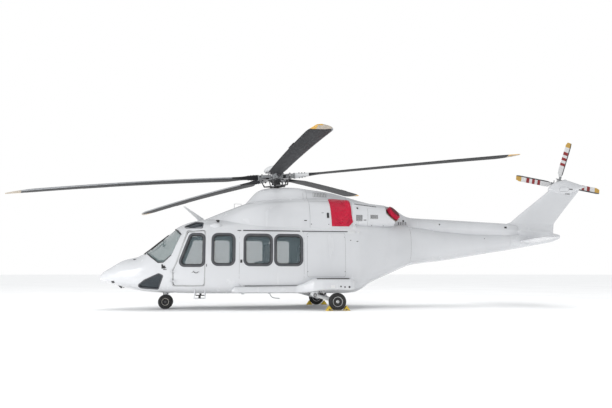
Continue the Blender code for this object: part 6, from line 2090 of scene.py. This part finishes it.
def build_roof_fittings():
    """Swept roof aerial, the bulges with their sensors, and the loop on the cowling."""
    outline = ((0.83, 2.30), (0.98, 2.30), (0.98, 2.45), (0.455, 2.795), (0.405, 2.785), (0.80, 2.43))
    parts = [(slab([(x, -0.012, z) for x, z in outline], (0.0, 0.024, 0.0), 0.006), 0)]
    placed(gathered(parts), "roof_aerial_fine", "white_satin", ("roof_aerial",), sharp=35)
    roof = []
    for _, side in SIDES:
        base = skin_point(1.30, 2.190, side)
        roof.append((ball(base, (0.155, 0.050, 0.070)), 0))
        knob_foot = skin_point(1.355, 2.300, side)
        roof += [
            (rod(knob_foot, knob_foot + Vector((0.0, side * 0.008, 0.060)), 0.036, 0.030), 1),
            (rod(knob_foot + Vector((-0.055, 0.0, 0.045)), knob_foot + Vector((0.04, 0.0, 0.045)), 0.014), 1),
        ]
    loop = [(1.802, -0.25, 2.72), (1.802, -0.25, 2.857), (1.989, -0.25, 2.857), (1.989, -0.25, 2.78)]
    roof.append((pipe(loop, 0.008, 8), 2))
    placed(gathered(roof), "roof_fittings", ("white_gloss", "seal_black", "seal_light"))


def build_blade_fittings():
    """Trim tabs and root bolts of the main blades."""
    for i in range(len(BLADES)):
        point = blade_place(i)
        parts = []
        tab = [point(0.0, radius) for radius in (4.55, 5.15)]
        chord = (point(0.0, 4.85) - point(0.5, 4.85)).normalized()
        up = (tab[1] - tab[0]).normalized().cross(chord).normalized()
        corners = [tab[0] - chord * 0.030, tab[1] - chord * 0.030, tab[1] + chord * 0.022,
                   tab[0] + chord * 0.022]
        parts.append((slab([corner - up * 0.002 for corner in corners], up * 0.004, 0.001), 0))
        for radius in (0.68, 0.76, 0.84):
            for u in (0.20, 0.30):
                low, high = point(u, radius), point(1.0 - u, radius)
                out = (low - high).normalized()
                parts += [
                    (bolt(low - out * 0.002, out, 0.012, 0.012), 1),
                    (bolt(high + out * 0.002, -out, 0.012, 0.012), 1),
                ]
        placed(gathered(parts), f"main_blade_{i + 1}_fittings", ("blade_paint", "dark_steel"),
               body="main_rotor")


# Nodes of the frame that stay and only take a finish.
CARRIED_OVER = {"powerplant": "dark_steel"}


def finish_carried_over():
    """Finishes of the nodes that show as the frame has them."""
    for name, label in CARRIED_OVER.items():
        for slot in frame["nodes"][name].material_slots:
            slot.material = finish(label)


FLOOR_RADIUS = 300.0
# Lamps that point at the cabin: name, place, size in metres, power in watts.
LAMPS = (("nose_side", (-17.0, -9.0, 5.0), 9.0, 1900.0), ("above", (6.0, -4.0, 18.0), 16.0, 500.0))
LAMP_TARGET = Vector((3.0, 0.0, 1.5))
# The light that only the floor gets is this wide in the sky.
SKY_ANGLE = radians(70.0)
CAMERA_PLACE = (1.1012, -16.7101, 0.9734)
CAMERA_TURN = (radians(96.57), 0.0, radians(-9.34))
CAMERA_LENS = 35.03


def build_stage():
    """Pale floor, soft lights and the camera."""
    scene = bpy.context.scene
    sizes = scene.helicopter_sizes
    scene.view_settings.view_transform = "Standard"
    bm = bmesh.new()
    bmesh.ops.create_circle(bm, cap_ends=True, segments=96, radius=FLOOR_RADIUS)
    white = finish("floor_white")
    shader = white.node_tree.nodes["Principled BSDF"]
    shader.inputs["Emission Color"].default_value = (1.0, 1.0, 1.0, 1.0)
    shader.inputs["Emission Strength"].default_value = sizes.floor_glow
    floor = linked("floor", mesh_of(bm, "floor"))
    floor.data.materials.append(white)

    world = bpy.data.worlds.new("soft_white")
    world.use_nodes = True
    tree = world.node_tree
    tree.nodes.clear()
    backdrop = add_node(tree, "ShaderNodeBackground", {"Color": (1.0, 1.0, 1.0, 1.0), "Strength": 1.0})
    around = add_node(tree, "ShaderNodeBackground", {"Color": (0.97, 0.985, 1.0, 1.0), "Strength": 0.60})
    path = add_node(tree, "ShaderNodeLightPath")
    chosen = add_node(tree, "ShaderNodeMixShader", {},
                      {0: path.outputs["Is Camera Ray"], 1: around.outputs[0], 2: backdrop.outputs[0]})
    add_node(tree, "ShaderNodeOutputWorld", {}, {"Surface": chosen.outputs[0]})
    scene.world = world
    for name, place, size, power in LAMPS:
        lamp = bpy.data.lights.new(name, "AREA")
        lamp.size = size
        lamp.energy = power
        light = linked(name, lamp)
        light.location = place
        light.rotation_euler = (LAMP_TARGET - Vector(place)).to_track_quat("-Z", "Y").to_euler()

    only_floor = bpy.data.collections.new("lit_floor")
    only_floor.objects.link(floor)
    lamp = bpy.data.lights.new("floor_shadow", "SUN")
    lamp.energy = sizes.floor_light
    lamp.angle = SKY_ANGLE
    light = linked("floor_shadow", lamp)
    light.location = (3.0, 0.0, 20.0)
    light.light_linking.receiver_collection = only_floor

    camera = linked("camera", bpy.data.cameras.new("camera"))
    camera.data.sensor_width = 36.0
    camera.data.lens = CAMERA_LENS
    camera.data.clip_end = 2000.0
    camera.location = CAMERA_PLACE
    camera.rotation_euler = CAMERA_TURN
    scene.camera = camera


class HELICOPTER_OT_stage(Operator):
    """Pale floor, soft lights and the camera"""
    bl_idname = "helicopter.stage"
    bl_label = "Stage"

    def execute(self, context):
        build_stage()
        return {"FINISHED"}


class HELICOPTER_OT_airframe(Operator):
    """Nose, cabin, roof, rear fuselage, boom, doors, panes and their seals and seams"""
    bl_idname = "helicopter.airframe"
    bl_label = "Airframe"

    def execute(self, context):
        build_airframe_skins()
        build_window_seals()
        build_panel_seams()
        return {"FINISHED"}


class HELICOPTER_OT_cowlings(Operator):
    """Cowlings in one filleted form and the drive shaft cover"""
    bl_idname = "helicopter.cowlings"
    bl_label = "Cowlings"

    def execute(self, context):
        build_upper_works()
        return {"FINISHED"}


class HELICOPTER_OT_tail_unit(Operator):
    """Boom end, fin, gearbox fairing and the stabiliser halves"""
    bl_idname = "helicopter.tail_unit"
    bl_label = "Tail unit"

    def execute(self, context):
        build_tail_unit()
        return {"FINISHED"}


class HELICOPTER_OT_sponsons(Operator):
    """Rounded sponsons that the main gear folds into"""
    bl_idname = "helicopter.sponsons"
    bl_label = "Sponsons"

    def execute(self, context):
        build_sponsons()
        return {"FINISHED"}


class HELICOPTER_OT_main_blades(Operator):
    """Five blades with their strips, tips, tabs and bolts"""
    bl_idname = "helicopter.main_blades"
    bl_label = "Main blades"

    def execute(self, context):
        build_main_blades()
        build_blade_fittings()
        return {"FINISHED"}


class HELICOPTER_OT_tail_rotor(Operator):
    """Four banded blades on their hub"""
    bl_idname = "helicopter.tail_rotor"
    bl_label = "Tail rotor"

    def execute(self, context):
        build_tail_rotor()
        build_tail_hub()
        return {"FINISHED"}


class HELICOPTER_OT_wheels(Operator):
    """Grooved tyres on their rims"""
    bl_idname = "helicopter.wheels"
    bl_label = "Wheels"

    def execute(self, context):
        build_wheels()
        return {"FINISHED"}


class HELICOPTER_OT_rotor_head(Operator):
    """Mast, swashplate, hub, dome and the blade roots"""
    bl_idname = "helicopter.rotor_head"
    bl_label = "Rotor head"

    def execute(self, context):
        build_rotor_head()
        return {"FINISHED"}


class HELICOPTER_OT_intake_covers(Operator):
    """Red cloths over the engine intakes"""
    bl_idname = "helicopter.intake_covers"
    bl_label = "Intake covers"

    def execute(self, context):
        build_intake_covers()
        return {"FINISHED"}


class HELICOPTER_OT_exhaust_covers(Operator):
    """Padded drums over the exhausts"""
    bl_idname = "helicopter.exhaust_covers"
    bl_label = "Exhaust covers"

    def execute(self, context):
        build_exhaust_covers()
        return {"FINISHED"}


class HELICOPTER_OT_landing_gear(Operator):
    """Nose leg, steered fork and trailing main legs"""
    bl_idname = "helicopter.landing_gear"
    bl_label = "Landing gear"

    def execute(self, context):
        build_nose_gear()
        build_main_gear()
        return {"FINISHED"}


class HELICOPTER_OT_chocks(Operator):
    """Wedges at the main wheels with their ropes"""
    bl_idname = "helicopter.chocks"
    bl_label = "Chocks"

    def execute(self, context):
        build_chocks()
        return {"FINISHED"}


class HELICOPTER_OT_instrument_panel(Operator):
    """Glareshield, screens and console"""
    bl_idname = "helicopter.instrument_panel"
    bl_label = "Instrument panel"

    def execute(self, context):
        build_instrument_panel()
        return {"FINISHED"}


class HELICOPTER_OT_seats(Operator):
    """Crew seats and two rows of cabin seats"""
    bl_idname = "helicopter.seats"
    bl_label = "Seats"

    def execute(self, context):
        build_crew_seats()
        build_cabin_seats()
        return {"FINISHED"}


class HELICOPTER_OT_side_fittings(Operator):
    """Rails, handles, hinges and seals of the sides"""
    bl_idname = "helicopter.side_fittings"
    bl_label = "Side fittings"

    def execute(self, context):
        build_side_fittings()
        return {"FINISHED"}


class HELICOPTER_OT_front_fittings(Operator):
    """Window borders, wipers, compass and nose fittings"""
    bl_idname = "helicopter.front_fittings"
    bl_label = "Front fittings"

    def execute(self, context):
        build_front_fittings()
        return {"FINISHED"}


class HELICOPTER_OT_cowl_fittings(Operator):
    """Louvres, latches and hinges of the cowlings"""
    bl_idname = "helicopter.cowl_fittings"
    bl_label = "Cowl fittings"

    def execute(self, context):
        build_cowl_fittings()
        return {"FINISHED"}


class HELICOPTER_OT_tail_fittings(Operator):
    """Panels, slots and lamps of the fin and the boom"""
    bl_idname = "helicopter.tail_fittings"
    bl_label = "Tail fittings"

    def execute(self, context):
        build_tail_fittings()
        return {"FINISHED"}


class HELICOPTER_OT_belly_fittings(Operator):
    """Step treads, aerials and ports of the sponsons"""
    bl_idname = "helicopter.belly_fittings"
    bl_label = "Belly fittings"

    def execute(self, context):
        build_belly_fittings()
        return {"FINISHED"}


class HELICOPTER_OT_roof_fittings(Operator):
    """Roof aerial and sensors"""
    bl_idname = "helicopter.roof_fittings"
    bl_label = "Roof fittings"

    def execute(self, context):
        build_roof_fittings()
        return {"FINISHED"}


class HELICOPTER_OT_powerplant(Operator):
    """Finish of the block behind the covers"""
    bl_idname = "helicopter.powerplant"
    bl_label = "Powerplant"

    def execute(self, context):
        finish_carried_over()
        return {"FINISHED"}


OPERATORS = (
    HELICOPTER_OT_stage, HELICOPTER_OT_airframe, HELICOPTER_OT_cowlings, HELICOPTER_OT_tail_unit,
    HELICOPTER_OT_sponsons, HELICOPTER_OT_main_blades, HELICOPTER_OT_tail_rotor, HELICOPTER_OT_wheels,
    HELICOPTER_OT_rotor_head, HELICOPTER_OT_intake_covers, HELICOPTER_OT_exhaust_covers,
    HELICOPTER_OT_landing_gear, HELICOPTER_OT_chocks, HELICOPTER_OT_instrument_panel,
    HELICOPTER_OT_seats, HELICOPTER_OT_side_fittings, HELICOPTER_OT_front_fittings,
    HELICOPTER_OT_cowl_fittings, HELICOPTER_OT_tail_fittings, HELICOPTER_OT_belly_fittings,
    HELICOPTER_OT_roof_fittings, HELICOPTER_OT_powerplant,
)


class HELICOPTER_PT_sidebar(Panel):
    """Sizes, colours and pieces of the helicopter"""
    bl_idname = "HELICOPTER_PT_sidebar"
    bl_label = "Helicopter"
    bl_space_type = "VIEW_3D"
    bl_region_type = "UI"
    bl_category = "Helicopter"

    def draw(self, context):
        for group in (context.scene.helicopter_sizes, context.scene.helicopter_colours):
            box = self.layout.box()
            for name in group.__annotations__:
                box.prop(group, name)
        for operator in OPERATORS:
            self.layout.operator(operator.bl_idname)


CLASSES = (HelicopterSizes, HelicopterColours, *OPERATORS, HELICOPTER_PT_sidebar)


def register():
    for item in CLASSES:
        bpy.utils.register_class(item)
    bpy.types.Scene.helicopter_sizes = PointerProperty(type=HelicopterSizes)
    bpy.types.Scene.helicopter_colours = PointerProperty(type=HelicopterColours)


def unregister():
    del bpy.types.Scene.helicopter_colours
    del bpy.types.Scene.helicopter_sizes
    for item in reversed(CLASSES):
        bpy.utils.unregister_class(item)


def main():
    register()
    bpy.ops.helicopter.stage()
    bpy.ops.helicopter.airframe()
    bpy.ops.helicopter.cowlings()
    bpy.ops.helicopter.tail_unit()
    bpy.ops.helicopter.sponsons()
    bpy.ops.helicopter.main_blades()
    bpy.ops.helicopter.tail_rotor()
    bpy.ops.helicopter.wheels()
    bpy.ops.helicopter.rotor_head()
    bpy.ops.helicopter.intake_covers()
    bpy.ops.helicopter.exhaust_covers()
    bpy.ops.helicopter.landing_gear()
    bpy.ops.helicopter.chocks()
    bpy.ops.helicopter.instrument_panel()
    bpy.ops.helicopter.seats()
    bpy.ops.helicopter.side_fittings()
    bpy.ops.helicopter.front_fittings()
    bpy.ops.helicopter.cowl_fittings()
    bpy.ops.helicopter.tail_fittings()
    bpy.ops.helicopter.belly_fittings()
    bpy.ops.helicopter.roof_fittings()
    bpy.ops.helicopter.powerplant()


if __name__ == "__main__":
    main()
